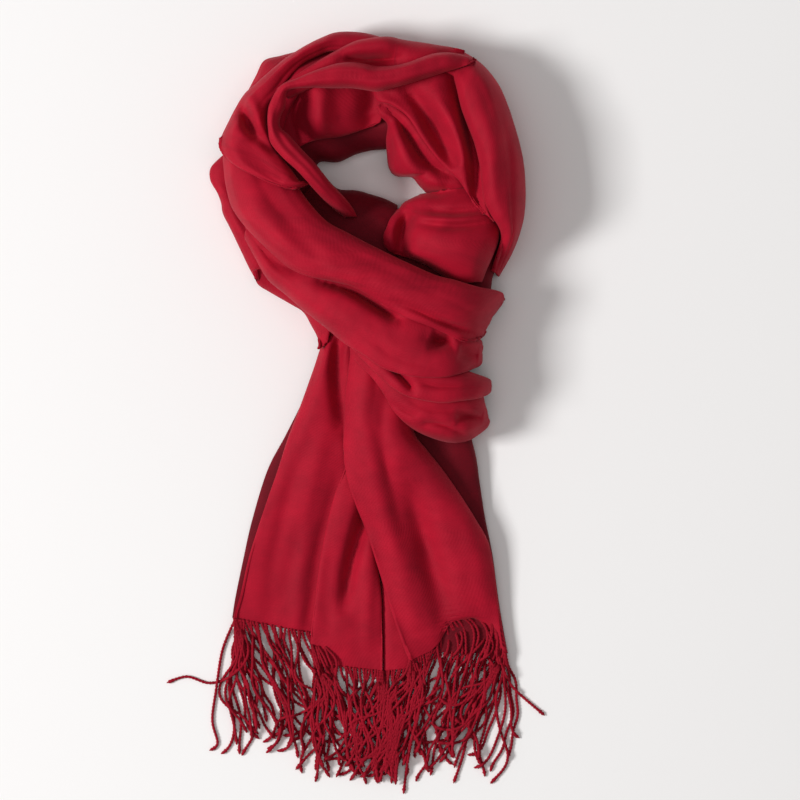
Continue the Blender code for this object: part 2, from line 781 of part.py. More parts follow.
STRETCHES["knot_band_middle"] = {
    "along": 15, "across": 7,
    "rows": """
xl   yl   zl  xr     yr    zr  tr  top  lean
-84  152  34  -85    138   20  3   36   0.5
-72  140  40  -76.5  122   24  3   46   0.55
-58  128  44  -67.5  106.5 28  3   53   0.55
-42  120  48  -53.5  94.5  34  3   59   0.55
-28  116  50  -39.5  82.3  40  3   65   0.55
-12  112  52  -23.5  69.7  44  3   69   0.55
4    107  54  -7.5   56.5  46  3   72   0.55
18   100  54  6      48.5  50  3   73   0.55
32   92   54  20     38.7  54  3   74   0.55
46   85   52  36     33    56  3   75   0.55
60   78   50  54     30.5  56  3   75   0.55
74   71   48  70     31    54  3   72   0.5
84   64   44  82     34    48  2   65   0.5
91   60   34  90     37    38  1   54   0.5
95.5 58   22  95.5   39.5  24  1   38   0.5
97   56   12  97     42    12  1   22   0.5
97   54   4   97     44.5  4   1   9    0.5
""",
    "folds": [(11.0, 8.0, [(50, 60), (63, 58), (76, 61)]),
              (8.0, 6.0, [(78, 50), (86, 49), (94, 50)]),
              (5.0, 6.0, [(-70, 128), (-58, 117), (-44, 111)])]}

STRETCHES["knot_band_front"] = {
    "along": 20, "across": 8,
    "rows": """
xl    yl    zl  tl  xr   yr    zr  tr  top  lean
-98   214   20  2   -60  212   44  1   50   0.5
-103  202   20  3   -55  199   48  1   56   0.5
-102.5 188  22  4   -49  186   50  1   62   0.5
-100  173   26  4   -42  173   52  2   68   0.5
-95.5 159.5 30  3   -33  161   54  2   72   0.5
-84.5 144.5 38  3   -21  149   56  3   76   0.5
-69.5 129.3 46  2   -6   141   58  3   79   0.5
-52   114   52  2   8    133.5 60  3   81   0.5
-36   107   56  3   20   127.5 62  3   82   0.5
-18   103   58  3   32   121.5 62  3   83   0.5
-2    98.7  60  3   43   116.5 62  3   83   0.5
12    91    60  3   54   111.5 62  3   83   0.5
26    82    60  3   64   107.5 61  3   82   0.5
42    74    60  3   75   105   60  3   81   0.5
58    68    58  3   85   102   58  3   79   0.5
73    61    54  3   96   99    54  3   73   0.5
83    57    46  2   104  97.7  46  3   64   0.5
91    57.5  34  1   110  96.5  36  3   52   0.5
96.5  59.5  22  1   114  95    24  2   38   0.5
99.5  63    12  1   115.5 92   12  1   23   0.5
101   67    4   1   115  88    4   1   9    0.5
""",
    "folds": [(3.0, 3.5, [(38, 87), (60, 76), (98, 58)]),
              (3.0, 9.0, [(-70, 172), (-45, 140), (-22, 108)])]}

STRETCHES["shoulder_band"] = {
    "along": 15, "across": 7,
    "rows": """
xl     yl     zl  tl  xr   yr   zr  top  lean
30     290    26  3   26   279  36  40   0.5
8      296.5  26  4   2    281  38  44   0.5
-13    297.5  26  4   -18  282  40  47   0.5
-27    293    26  4   -30  278  42  51   0.5
-42    285    26  4   -41  272  44  55   0.5
-57    275    26  4   -51  262  46  58   0.5
-75    259.5  26  4   -59  248  48  61   0.5
-88    247.5  24  4   -66  238  48  63   0.55
-98.5  229    20  6   -68  224  50  65   0.55
-105.5 213    20  6   -64  208  52  67   0.55
-103.5 203    32  3   -56  198  54  69   0.55
-94    193.5  48  1   -49  189  54  71   0.6
-77    184    60  1   -43  181  54  72   0.6
-62    176.5  66  1   -38  174  52  72   0.5
""",
    "folds": [(14.0, 6.0, [(-90, 243), (-84, 231), (-78, 219)]),
              (-3.0, 5.0, [(-84, 246), (-77, 234), (-74, 218)]),
              (6.0, 12.0, [(-88, 218), (-74, 198), (-54, 180)])]}

STRETCHES["top_band"] = {
    "along": 11, "across": 6,
    "rows": """
xl     yl     zl  tl  xr   yr   zr  top  lean
-60    251    48  1   -53  246  46  60   0.5
-45    261.5  50  1   -40  252  46  62   0.4
-24    275    50  1   -20  260  44  63   0.3
-3     286.5  44  1   0    262  42  62   0.3
10     290    36  3   10   262  42  60   0.3
24     291.5  26  4   24   263  42  59   0.3
38     289.5  24  5   38   265  42  57   0.35
50     288    24  5   50   268  42  55   0.4
62     286    24  5   62   273  38  50   0.45
73     284    23  4   71   276  30  40   0.5
""",
    "folds": [(9.0, 6.0, [(-6, 278), (12, 275), (30, 276)])]}

STRETCHES["roll_band"] = {
    "along": 22, "across": 6,
    "rows": """
xl     yl     zl  tl  xr    yr     zr  tr  top
91     275.5  44  1   89.5  272    44  1   48
83     279    46  1   81    268.5  48  1   59
72     280.5  49  2   71    265.5  51  2   67
61     279.5  50  2   60    262    54  2   71
50     276    52  2   50    259    56  3   74
41     272.5  54  2   41    256    58  3   76
30     270    54  2   30    253    58  3   77
16.5   269.5  54  2   17    250    58  3   78
6      271.5  54  2   5     251.5  58  3   79
-3     272.5  54  2   -3    252.5  58  3   79
-13    271.5  54  2   -14   252.5  58  3   79
-24    268.5  54  2   -24   252.5  58  3   78
-35    264.5  54  2   -36   252.5  58  3   76
-45    260    54  2   -46   252    56  2   73
-55.5  256    52  2   -52.5 250    56  1   71
-61.5  250    52  2   -54   245    56  1   71
-66.5  240    52  2   -54.5 238    58  2   73
-68    231    52  2   -58   230    58  2   75
-67.5  220    52  2   -58   222.5  58  2   76
-65.5  210    52  2   -51   216    58  2   76
-56.5  199    54  2   -42.5 206.5  58  2   76
-44.5  188    54  2   -31.5 195    56  3   75
-31    173    50  2   -19.5 180    50  3   70
-20  162    40  2   -8    168    42  2   57
-14  157    32  2   -2    160    34  2   46
-9   152.5  26  1   4     152.5  27  1   36
"""}


# ---------------------------------------------------------------- the fringe

STRAND_RADIUS = 1.15        # of a twisted strand, mm
STRAND_SIDES = 3
STRAND_PLACES = 8           # places along one strand
STRAND_LENGTH = (84.0, 100.0)
STRIP_HALF = 1.1            # half the width and height of the strip that holds the roots, mm
STRIP_OFF = 0.5             # from the cloth's edge to the strip, mm
STRIP_PLACES = 12
STRIP_SIDES = 4
LATERAL = 5                 # places looked at across a strand

# One hem each: the stretch it ends, the shares of its last row that the strip spans, how
# many strands it holds, the seed of their tangle, and the strays, whose routes in plan
# were read from the photograph.
HEMS = {
    "fringe_right": {
        "cloth": "tail_front_right", "span": (0.03, 0.97), "strands": 26, "seed": 3,
        "strays": [[(106, -172), (112, -190), (118, -205), (126, -216), (149, -236)],
                   [(47, -193), (52, -215), (45, -245), (40, -272), (37, -296.5)]]},
    "fringe_left": {
        "cloth": "tail_front_left", "span": (0.03, 0.86), "strands": 19, "seed": 5,
        "strays": [[(-90, -161.5), (-84, -186), (-97, -203), (-114, -209), (-132, -204),
                    (-149, -210)],
                   [(-94, -160.5), (-104, -183), (-109, -214), (-112, -238), (-108, -256),
                    (-115, -262)]]},
    "fringe_middle": {
        "cloth": "tail_middle", "span": (0.05, 1.0), "strands": 22, "seed": 8,
        "beyond": [(32, -200.8), (42, -199.2)]},
}


def hem_line(outer, hem):
    """Plan points just past a cloth's last row, between two shares of it and beyond."""
    row = outer[-1, :, :2]
    out = row - outer[-2, :, :2]
    out /= np.linalg.norm(out, axis=1)[:, None]
    line = smooth_rows(row + out * (STRIP_OFF + STRIP_HALF), 61)
    line = line[int(hem["span"][0] * 60):int(hem["span"][1] * 60) + 1]
    if "beyond" in hem:
        line = np.concatenate([line, np.array(hem["beyond"], dtype=float)])
    steps = np.linalg.norm(np.diff(line, axis=0), axis=1)
    reached = np.concatenate([[0.0], np.cumsum(steps)])
    wanted = np.linspace(0.0, reached[-1], STRIP_PLACES)
    return np.column_stack([np.interp(wanted, reached, line[:, 0]),
                            np.interp(wanted, reached, line[:, 1])])


def laid_heights(route, half, heights, free=0):
    """The least height at each place of a line that keeps it clear of what is below.

    Both ends of a piece of the line clear the highest thing under it. The first pieces,
    as many as free says, are left out, because there the line grows from its strip.
    """
    share = np.linspace(0.0, 1.0, 24)[:, None]
    need = np.full(len(route), half + FLOOR_GAP)
    for place in range(free, len(route) - 1):
        start, end = route[place], route[place + 1]
        way = (end - start) / np.linalg.norm(end - start)
        side = np.array([-way[1], way[0]])
        line = start * (1 - share) + end * share
        highest = 0.0
        for offset in np.linspace(-half, half, LATERAL):
            over = line + side * offset
            highest = max(highest, heights.top[heights.cells(over[:, 0], over[:, 1])].max())
        rest = highest + half + GAP if highest > 0.01 else half + FLOOR_GAP
        need[place] = max(need[place], rest)
        need[place + 1] = max(need[place + 1], rest)
    return need


def lay_line(path, half, heights):
    """Put a line's upper side on the height map."""
    share = np.linspace(0.0, 1.0, 48)[:, None]
    for start, end in zip(path[:-1], path[1:]):
        way = (end - start)[:2] / max(np.linalg.norm((end - start)[:2]), 1e-6)
        side = np.array([-way[1], way[0], 0.0])
        line = start * (1 - share) + end * share
        for offset in np.linspace(-half, half, LATERAL):
            over = line + side * offset
            over[:, 2] = line[:, 2] + half
            heights.lay(over)


def tube(path, radius, sides):
    """Vertices and faces of a closed tube with a few flat sides along a path."""
    way = np.gradient(path, axis=0)
    way /= np.linalg.norm(way, axis=1)[:, None]
    side = np.cross(way, (0.0, 0.0, 1.0))
    side /= np.linalg.norm(side, axis=1)[:, None]
    lift = np.cross(side, way)
    turn = 2 * math.pi * (np.arange(sides) + (0.5 if sides == 4 else 0.25 * 3)) / sides
    ring = (np.cos(turn)[None, :, None] * side[:, None, :]
            + np.sin(turn)[None, :, None] * lift[:, None, :])
    points = (path[:, None, :] + radius * ring).reshape(-1, 3)
    faces = []
    for place in range(len(path) - 1):
        for corner in range(sides):
            after = (corner + 1) % sides
            here = place * sides
            faces.append([here + corner, here + after, here + sides + after, here + sides + corner])
    faces.append(list(range(sides))[::-1])
    faces.append([(len(path) - 1) * sides + corner for corner in range(sides)])
    return points, faces


def strand_route(root, way, rng):
    """A loose route in plan: down from the hem, leaning and waving as it goes."""
    length = rng.uniform(*STRAND_LENGTH)
    lean = rng.normal(0.0, 0.16)
    wave = rng.normal(0.0, 0.22)
    phase = rng.uniform(0.0, 2 * math.pi)
    share = np.linspace(0.0, 1.0, STRAND_PLACES)
    angle = lean * np.minimum(3 * share, 1.0) + wave * np.sin(2 * math.pi * share + phase) * share
    base = math.atan2(way[1], way[0])
    angle = angle + base * (1 - share) + (-0.5 * math.pi) * share
    step = length / (STRAND_PLACES - 1)
    x = root[0] + np.concatenate([[0.0], np.cumsum(step * np.cos(angle[:-1]))])
    y = root[1] + np.concatenate([[0.0], np.cumsum(step * np.sin(angle[:-1]))])
    return np.column_stack([x, y])


def add_fringe(name, hem, outer, heights):
    """The strip along one hem and its strands, laid one over the other, as one solid."""
    line = hem_line(outer, hem)
    strip_height = laid_heights(line, STRIP_HALF, heights)
    strip = np.column_stack([line, strip_height])
    points, faces = tube(strip, STRIP_HALF * 1.35, STRIP_SIDES)
    piece = add_object(name, points * MM, faces, CRIMSON)
    lay_line(strip, STRIP_HALF, heights)
    rng = np.random.default_rng(hem["seed"])
    routes = []
    for share in (np.arange(hem["strands"]) + 0.5) / hem["strands"]:
        place = share * (STRIP_PLACES - 1)
        index = min(int(place), STRIP_PLACES - 2)
        root = strip[index] + (strip[index + 1] - strip[index]) * (place - index)
        along = (strip[index + 1] - strip[index])[:2]
        away = np.array([along[1], -along[0]])
        away *= -np.sign(away[1]) / np.linalg.norm(away)
        away = away * 0.2 + np.array([0.0, -0.8])
        routes.append((root, strand_route(root[:2], away, rng)))
    order = rng.permutation(len(routes))
    all_points, all_faces = [], []
    for root, route in [routes[number] for number in order] + stray_routes(hem, strip):
        path = np.column_stack([route, laid_heights(route, STRAND_RADIUS, heights, 1)])
        path[0, 2] = root[2]
        path[1, 2] = max(path[1, 2], root[2] - 2.0)
        lay_line(path[1:], STRAND_RADIUS, heights)
        points, faces = tube(path, STRAND_RADIUS, STRAND_SIDES)
        shift = sum(len(group) for group in all_points)
        all_points.append(points)
        all_faces += [[corner + shift for corner in face] for face in faces]
    strands = add_object(name + "_strands", np.concatenate(all_points) * MM, all_faces, CRIMSON)
    join = piece.modifiers.new("roots", "BOOLEAN")
    join.operation = "UNION"
    join.use_self = True
    join.object = strands
    strands.hide_render = True
    strands.display_type = "WIRE"


def stray_routes(hem, strip):
    """The strays of one hem, each growing from the nearest place of the strip."""
    routes = []
    for stray in hem.get("strays", []):
        route = smooth_rows(np.array(stray, dtype=float), STRAND_PLACES + 1)
        nearest = np.linalg.norm(strip[:, :2] - route[0], axis=1).argmin()
        route[0] = strip[nearest, :2]
        routes.append((strip[nearest], route))
    return routes


def main():
    """Clear the scene and lay the scarf from the table up."""
    for old in list(bpy.data.objects):
        bpy.data.objects.remove(old, do_unlink=True)
    heights = HeightMap(MAP_X, MAP_Y, CELL)
    ring_core(heights)
    tail_core(heights)
    outers = {}
    for name, spec in STRETCHES.items():
        outers[name] = cloth_wall(name, spec, heights)
    fine = HeightMap(MAP_X, FRINGE_Y, FRINGE_CELL)
    fine.copy_from(heights)
    for name, hem in HEMS.items():
        add_fringe(name, hem, outers[hem["cloth"]], fine)


main()
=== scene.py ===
# %% [markdown]
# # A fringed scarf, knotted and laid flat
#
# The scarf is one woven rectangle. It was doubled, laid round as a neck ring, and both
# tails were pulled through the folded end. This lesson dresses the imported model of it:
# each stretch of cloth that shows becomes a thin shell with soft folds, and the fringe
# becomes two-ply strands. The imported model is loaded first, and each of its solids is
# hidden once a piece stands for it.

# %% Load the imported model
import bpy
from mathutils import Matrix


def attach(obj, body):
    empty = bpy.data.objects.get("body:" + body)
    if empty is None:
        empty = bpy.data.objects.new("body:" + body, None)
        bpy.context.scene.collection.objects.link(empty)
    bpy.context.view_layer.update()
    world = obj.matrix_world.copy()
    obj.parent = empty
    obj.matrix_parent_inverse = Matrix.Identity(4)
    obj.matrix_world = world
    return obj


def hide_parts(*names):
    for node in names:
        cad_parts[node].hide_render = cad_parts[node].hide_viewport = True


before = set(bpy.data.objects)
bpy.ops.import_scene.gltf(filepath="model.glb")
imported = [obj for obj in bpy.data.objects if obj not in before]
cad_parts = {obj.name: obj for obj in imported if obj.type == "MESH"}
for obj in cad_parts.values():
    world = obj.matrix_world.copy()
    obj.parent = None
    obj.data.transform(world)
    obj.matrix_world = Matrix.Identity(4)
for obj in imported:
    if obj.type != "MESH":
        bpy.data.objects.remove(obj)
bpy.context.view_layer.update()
print("packed nodes:", len(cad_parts))

# %% Tools
import math

import bpy
import numpy as np

MM = 0.001

# %% [markdown]
# ## Camera, floor and light
#
# The photograph looks straight down. A camera far above with a long lens gives nearly no
# perspective, so a place in the picture is a place on the table. One pixel is 0.78 mm.
# The light is soft and comes from the left, so the shadow falls to the right.

# %% Camera
PIXEL = 0.78                # millimetres of table that one pixel shows
IMAGE = 800                 # pixels across the photograph
AIM = (34.3, 11.7)          # the place under the picture's middle, mm
CAMERA_HEIGHT = 6.0         # metres
SENSOR = 36.0               # millimetres

camera_data = bpy.data.cameras.new("overhead")
camera_data.sensor_width = SENSOR
camera_data.lens = SENSOR * CAMERA_HEIGHT / (PIXEL * IMAGE * MM)
camera_data.clip_end = 30.0
camera = bpy.data.objects.new("overhead", camera_data)
camera.location = (AIM[0] * MM, AIM[1] * MM, CAMERA_HEIGHT)
bpy.context.scene.collection.objects.link(camera)
bpy.context.scene.camera = camera
print("lens:", round(camera_data.lens, 1), "mm")


# %% Colours and shader nodes
def linear(code):
    """A hex colour of the screen as linear light, with alpha 1: each share is divided by
    12.92 when it is very dark, and else raised to the power 2.4 after a small shift."""
    shares = [int(code[place:place + 2], 16) / 255 for place in (1, 3, 5)]
    light = [s / 12.92 if s <= 0.04045 else ((s + 0.055) / 1.055) ** 2.4 for s in shares]
    return (*light, 1.0)


def add_node(tree, kind, settings=(), links=()):
    """Add one shader node: settings are (name, value), links are (input, output socket)."""
    node = tree.nodes.new(kind)
    for name, value in settings:
        if isinstance(name, int) or name in node.inputs:
            node.inputs[name].default_value = value
        else:
            setattr(node, name, value)
    for name, socket in links:
        tree.links.new(node.inputs[name], socket)
    return node


def new_material(name, roughness, base):
    """A named material: its tree and its Principled shader."""
    material = bpy.data.materials.new(name)
    material.use_nodes = True
    material.diffuse_color = base
    shader = material.node_tree.nodes["Principled BSDF"]
    shader.inputs["Base Color"].default_value = base
    shader.inputs["Roughness"].default_value = roughness
    return material, material.node_tree, shader


print("half grey on the screen is", round(linear("#808080")[0], 3), "of the light")

# %% Floor
FLOOR_SIZE = 6.0            # metres

floor_mesh = bpy.data.meshes.new("paper_floor")
half = FLOOR_SIZE / 2
floor_mesh.from_pydata(
    [(-half, -half, 0), (half, -half, 0), (half, half, 0), (-half, half, 0)],
    [], [(0, 1, 2, 3)])
floor = bpy.data.objects.new("paper_floor", floor_mesh)
bpy.context.scene.collection.objects.link(floor)
# matt white card: no gloss shows, only the soft shadow
floor_material = new_material("matt_card", 0.9, linear("#FBF9F8"))[0]
floor_mesh.materials.append(floor_material)
print("floor:", FLOOR_SIZE, "m square of", floor_material.name)

# %% Light
LIT_PLACE = (0.02, 0.05, 0.0)   # metres, by the knot: both lights face it
SOFTBOXES = (                   # name, place in metres, width in metres, power in watts
    ("window", (-3.42, -0.21, 3.07), 1.2, 170.0),
    ("ceiling", (-0.2, 0.2, 3.2), 2.4, 15.0))
FILL = 0.29                     # strength of the even white light from all round


def add_softbox(name, place, size, power):
    """A square white area light. It is tipped by the angle from straight down to the lit
    place, after a turn about z that brings that place in line."""
    data = bpy.data.lights.new(name, "AREA")
    data.size = size
    data.energy = power
    lamp = bpy.data.objects.new(name, data)
    lamp.location = place
    aim = np.array(LIT_PLACE) - np.array(place)
    tip = math.atan2(math.hypot(aim[0], aim[1]), -aim[2])
    turn = math.atan2(aim[1], aim[0]) - math.pi / 2
    lamp.rotation_euler = (tip, 0.0, turn)
    bpy.context.scene.collection.objects.link(lamp)


for softbox in SOFTBOXES:
    add_softbox(*softbox)
world = bpy.data.worlds.new("studio")
world.use_nodes = True
background = world.node_tree.nodes["Background"]
background.inputs["Color"].default_value = linear("#FFFFFF")
background.inputs["Strength"].default_value = FILL
bpy.context.scene.world = world
# the photograph has plain camera colours, so light is shown with the plain screen curve
bpy.context.scene.view_settings.view_transform = "Standard"
print("lights:", " and ".join(softbox[0] for softbox in SOFTBOXES), "with a fill of", FILL)

# %% [markdown]
# ## The cloth's finish
#
# The real cloth is a brushed acrylic twill: fine diagonal ribs under a short soft nap. The
# nap scatters light, so the cloth looks matt, a little lighter where it turns away, and
# nearly black in its creases. Its ribs are about 0.6 mm apart, finer than a pixel. They
# are drawn 1.9 mm apart here, as coarse as they need to be to show at all. The pattern
# reads the piece's own UV map, in millimetres of cloth, so it follows each fold.

# %% Brushed twill
RIB_PITCH = 1.9             # mm from one diagonal rib to the next
BAND_TURN = math.tau / (10 * math.sqrt(2))      # the wave texture's scale for a pitch of 1
THREADS = ((1.1, 0.12, 1.0), (0.10, 0.9, 1.0))  # noise drawn out along each set of threads
CLOUD_SCALE = 0.035         # soft patches of nap, about 30 mm across
STREAK_TINT = 0.30          # share of the streaks in the colour
STREAK_RELIEF = 0.55        # share of the streaks in the relief
TINT_RANGE = (0.55, 1.05)   # the sum of patches and streaks, from the dark to the light shade
RELIEF = (0.2, 0.0003)      # strength and depth of the bump, the depth in metres
NAP_SHEEN = 0.12            # the nap's pale rim where the cloth turns away
NAP_SHEEN_ROUGHNESS = 0.45
NAP_TINT = "#FF9AA4"
NAP_GLOSS = 0.15            # specular level: hardly any mirror light leaves a nap


def brushed_twill(name, light, dark, roughness):
    """Twill with a nap: diagonal ribs, thread streaks both ways and a soft sheen. The
    colour goes from dark to light with patches + STREAK_TINT x streaks, and the relief is
    ribs + STREAK_RELIEF x streaks."""
    material, tree, shader = new_material(name, roughness, linear(light))
    uv = add_node(tree, "ShaderNodeUVMap").outputs["UV"]
    ribs = add_node(tree, "ShaderNodeTexWave", [
        ("bands_direction", "DIAGONAL"), ("Scale", BAND_TURN / RIB_PITCH),
        ("Distortion", 1.2), ("Detail", 1.0), ("Detail Scale", 2.0)], [("Vector", uv)])
    streaks = []
    for stretch in THREADS:
        place = add_node(tree, "ShaderNodeVectorMath",
                         [("operation", "MULTIPLY"), (1, stretch)], [(0, uv)])
        streaks.append(add_node(tree, "ShaderNodeTexNoise", [
            ("Scale", 1.0), ("Detail", 3.0), ("Roughness", 0.6)],
            [("Vector", place.outputs["Vector"])]).outputs["Fac"])
    cloudy = add_node(tree, "ShaderNodeTexNoise", [("Scale", CLOUD_SCALE), ("Detail", 4.0)],
                      [("Vector", uv)]).outputs["Fac"]
    both = add_node(tree, "ShaderNodeMath", [("operation", "ADD")],
                    [(0, streaks[0]), (1, streaks[1])]).outputs[0]
    shade = add_node(tree, "ShaderNodeMath", [("operation", "MULTIPLY_ADD"), (1, STREAK_TINT)],
                     [(0, both), (2, cloudy)]).outputs[0]
    blend = add_node(tree, "ShaderNodeMapRange", [
        ("From Min", TINT_RANGE[0]), ("From Max", TINT_RANGE[1])],
        [("Value", shade)]).outputs["Result"]
    colour = add_node(tree, "ShaderNodeMix", [("data_type", "RGBA")], [("Factor", blend)])
    # this node has sockets A, B and Result for each kind of data: these are the colours
    ends = [socket for socket in colour.inputs if socket.type == "RGBA"]
    ends[0].default_value = linear(dark)
    ends[1].default_value = linear(light)
    result = [socket for socket in colour.outputs if socket.type == "RGBA"][0]
    tree.links.new(shader.inputs["Base Color"], result)
    relief = add_node(tree, "ShaderNodeMath",
                      [("operation", "MULTIPLY_ADD"), (1, STREAK_RELIEF)],
                      [(0, both), (2, ribs.outputs["Fac"])]).outputs[0]
    bump = add_node(tree, "ShaderNodeBump", [("Strength", RELIEF[0]), ("Distance", RELIEF[1])],
                    [("Height", relief)])
    tree.links.new(shader.inputs["Normal"], bump.outputs["Normal"])
    shader.inputs["Sheen Weight"].default_value = NAP_SHEEN
    shader.inputs["Sheen Roughness"].default_value = NAP_SHEEN_ROUGHNESS
    shader.inputs["Sheen Tint"].default_value = linear(NAP_TINT)
    shader.inputs["Specular IOR Level"].default_value = NAP_GLOSS
    return material


# crimson twill with a nap: matt and even, with a pale rim and faint diagonal ribs
twill = brushed_twill("brushed_acrylic_twill", "#B20B29", "#940621", 0.72)
# painted shade: the same twill made darker for the layers that little light reaches, so gaps
# look deep
twill_painted_shade = brushed_twill("brushed_acrylic_twill_painted_shade", "#760519", "#5C0313", 0.72)
print("twills:", twill.name, "and", twill_painted_shade.name, "with ribs", RIB_PITCH, "mm apart")

# %% [markdown]
# ## Laying cloth on cloth
#
# A heap of cloth could be simulated, but the real folds are known from the photograph, so
# each stretch is drawn as a table of rows and laid on what is below it. A row
# gives the widest point on the left and on the right, the height of the crown, and how
# far each edge turns under. A curve through the rows gives a smooth surface. The map
# below keeps the height of everything laid so far, and the next stretch is lifted clear
# of it, with the lift spread softly, as stiff cloth bridges over what it meets.

# %% Rows and curves
# A row: the left point xl yl zl, the right point xr yr zr and the crown's height top; tl
# and tr, how far the edges turn under; lean, the crown's place from left to right; bow,
# how far the row arches back along the stretch. lean is a share, the rest is in mm.
PLAIN_ROW = {"tl": 0, "tr": 0, "lean": 0.5, "bow": 0}
WALL = 1.6                  # thickness of the doubled cloth, mm
GAP = 0.15                  # clear height between two layers, mm
BLUNT = 2.3                 # exponent of the rounded sections, 2 is an ellipse
CROWN_LIMITS = (0.08, 0.92)     # how near to an edge the crown may lie, as a share
BOW_SHARE = (0.0, 0.1, 0.24, 0.35, 0.56, 0.72, 0.84, 0.92, 0.97, 1.0)   # across a bowed row
BOW_RISE = (0.0, 0.1, 0.2, 0.41, 0.91, 0.96, 1.0, 0.81, 0.46, 0.0)      # share of its bow


def read_rows(text, **same):
    """A table as arrays: the first line names the columns, each other line is a row. A
    column that is the same in every row is given by name, or is as in PLAIN_ROW."""
    lines = [line.split() for line in text.strip().splitlines()]
    values = np.array([[float(cell) for cell in line] for line in lines[1:]])
    rows = {name: values[:, column] for column, name in enumerate(lines[0])}
    for name, value in {**PLAIN_ROW, **same}.items():
        rows.setdefault(name, np.full(len(values), float(value)))
    return rows


def read_folds(text):
    """Folds, one a line: its depth, its reach, then x and y of each place of its route."""
    lines = [[float(cell) for cell in line.split()] for line in text.strip().splitlines()]
    return [(line[0], line[1], np.reshape(line[2:], (-1, 2))) for line in lines]


def through(values, count):
    """Places on a Catmull-Rom curve: on each piece a cubic blend of four neighbours."""
    values = np.asarray(values, dtype=float)
    last = len(values) - 1
    place = np.linspace(0.0, last, count)
    start = np.minimum(place.astype(int), last - 1)
    step = place - start
    if values.ndim > 1:
        step = step[:, None]
    before = values[np.maximum(start - 1, 0)]
    first = values[start]
    second = values[start + 1]
    after = values[np.minimum(start + 2, last)]
    return 0.5 * (2 * first + (second - before) * step
                  + (2 * before - 5 * first + 4 * second - after) * step ** 2
                  + (3 * (first - second) + after - before) * step ** 3)


def softened(field, times=1):
    """A 1-2-1 average in both directions, repeated."""
    for _ in range(times):
        padded = np.pad(field, 1, mode="edge")
        rows = 0.25 * padded[:-2] + 0.5 * padded[1:-1] + 0.25 * padded[2:]
        field = 0.25 * rows[:, :-2] + 0.5 * rows[:, 1:-1] + 0.25 * rows[:, 2:]
    return field


def between(rows, axis, share):
    """The coordinate at shares of the straight way from the left point to the right one."""
    return rows[axis + "l"][:, None] * (1 - share) + rows[axis + "r"][:, None] * share


def section_grid(rows, across):
    """Rounded sections: z is half a blunt ellipse, 1 minus the distance from the crown to
    the power BLUNT, all to 1 / BLUNT, times the height; x and y run straight from the
    left to the right point, set back along the stretch by bow times the arch BOW_RISE."""
    share = (0.5 - 0.5 * np.cos(np.linspace(0.0, math.pi, across)))[None, :]
    lean = np.clip(rows["lean"], *CROWN_LIMITS)[:, None]
    left_side = share < lean
    away = np.where(left_side, 1 - share / lean, (share - lean) / (1 - lean))
    rise = (1 - np.clip(away, 0, 1) ** BLUNT) ** (1 / BLUNT)
    foot = np.where(left_side, rows["zl"][:, None], rows["zr"][:, None])
    x = between(rows, "x", share)
    y = between(rows, "y", share)
    z = foot + (rows["top"][:, None] - foot) * rise
    middle = np.stack([rows["xl"] + rows["xr"], rows["yl"] + rows["yr"]], axis=1) / 2
    way = np.gradient(middle, axis=0)
    way /= np.linalg.norm(way, axis=1)[:, None]
    arch = softened(np.interp(share, BOW_SHARE, BOW_RISE), 8)
    bow = rows["bow"][:, None] * arch
    return np.stack([x - way[:, :1] * bow, y - way[:, 1:] * bow, z], axis=2)


def normals_of(grid):
    """Unit normals of a grid: the cross product of its two directions, pointing up at
    its middle."""
    normal = np.cross(np.gradient(grid, axis=0), np.gradient(grid, axis=1))
    normal /= np.maximum(np.linalg.norm(normal, axis=2), 1e-9)[:, :, None]
    if normal[:, normal.shape[1] // 2, 2].mean() < 0:
        normal = -normal
    return normal


# %% The height map
MAP_LOW = (-170.0, -330.0)  # the map's corner, mm
MAP_SIZE = (340, 650)       # mm
MAP_CELL = 0.8              # mm
BARE = 0.01                 # mm, a lower place on the map has nothing on it
map_top = np.zeros([int(side / MAP_CELL) for side in MAP_SIZE])
print("height map:", map_top.shape[0], "by", map_top.shape[1], "cells")


def map_cells(x, y):
    """Cell numbers of the places x, y."""
    column = np.rint((x - MAP_LOW[0]) / MAP_CELL).astype(int)
    row = np.rint((y - MAP_LOW[1]) / MAP_CELL).astype(int)
    return np.clip(column, 1, map_top.shape[0] - 2), np.clip(row, 1, map_top.shape[1] - 2)


def lay_points(points):
    """Raise the map to the given points."""
    np.maximum.at(map_top, map_cells(points[:, 0], points[:, 1]), points[:, 2])


def lay_grid(grid, parts=4):
    """Raise the map to a grid surface, filled in by blending each cell's corners."""
    for along in np.linspace(0, 1, parts):
        side = grid[:-1] * (1 - along) + grid[1:] * along
        for over in np.linspace(0, 1, parts):
            lay_points((side[:, :-1] * (1 - over) + side[:, 1:] * over).reshape(-1, 3))


def widened_map():
    """The map with each cell raised to the highest of its neighbours."""
    wide = map_top.copy()
    for across in (-1, 0, 1):
        for along in (-1, 0, 1):
            wide = np.maximum(wide, np.roll(map_top, (across, along), axis=(0, 1)))
    return wide


def needed_height(wide, x, y):
    """The least height that clears the map, or the table's 0."""
    height = wide[map_cells(x, y)]
    return np.where(height > BARE, height + GAP, 0.0)


# %% Folds
ROUTE_PLACES = 40           # places along the route of a fold
RIPPLES = 10                # sine waves in the restless surface
RIPPLE_LENGTHS = (9, 40)    # mm, from the shortest wave to the longest


def pressed_fold(grid, depth, reach, route):
    """One listed fold: depth times a bell curve of the distance to a route in plan,
    fading in and out along it as the power 0.6 of a sine. A negative depth is a ridge."""
    line = through(route, ROUTE_PLACES)
    distance = np.linalg.norm(grid[:, :, None, :2] - line[None, None], axis=3)
    nearest = distance.argmin(axis=2) / (ROUTE_PLACES - 1)
    fade = np.sin(math.pi * np.clip(nearest, 0.03, 0.97)) ** 0.6
    return -depth * fade * np.exp(-(distance.min(axis=2) / reach) ** 2)


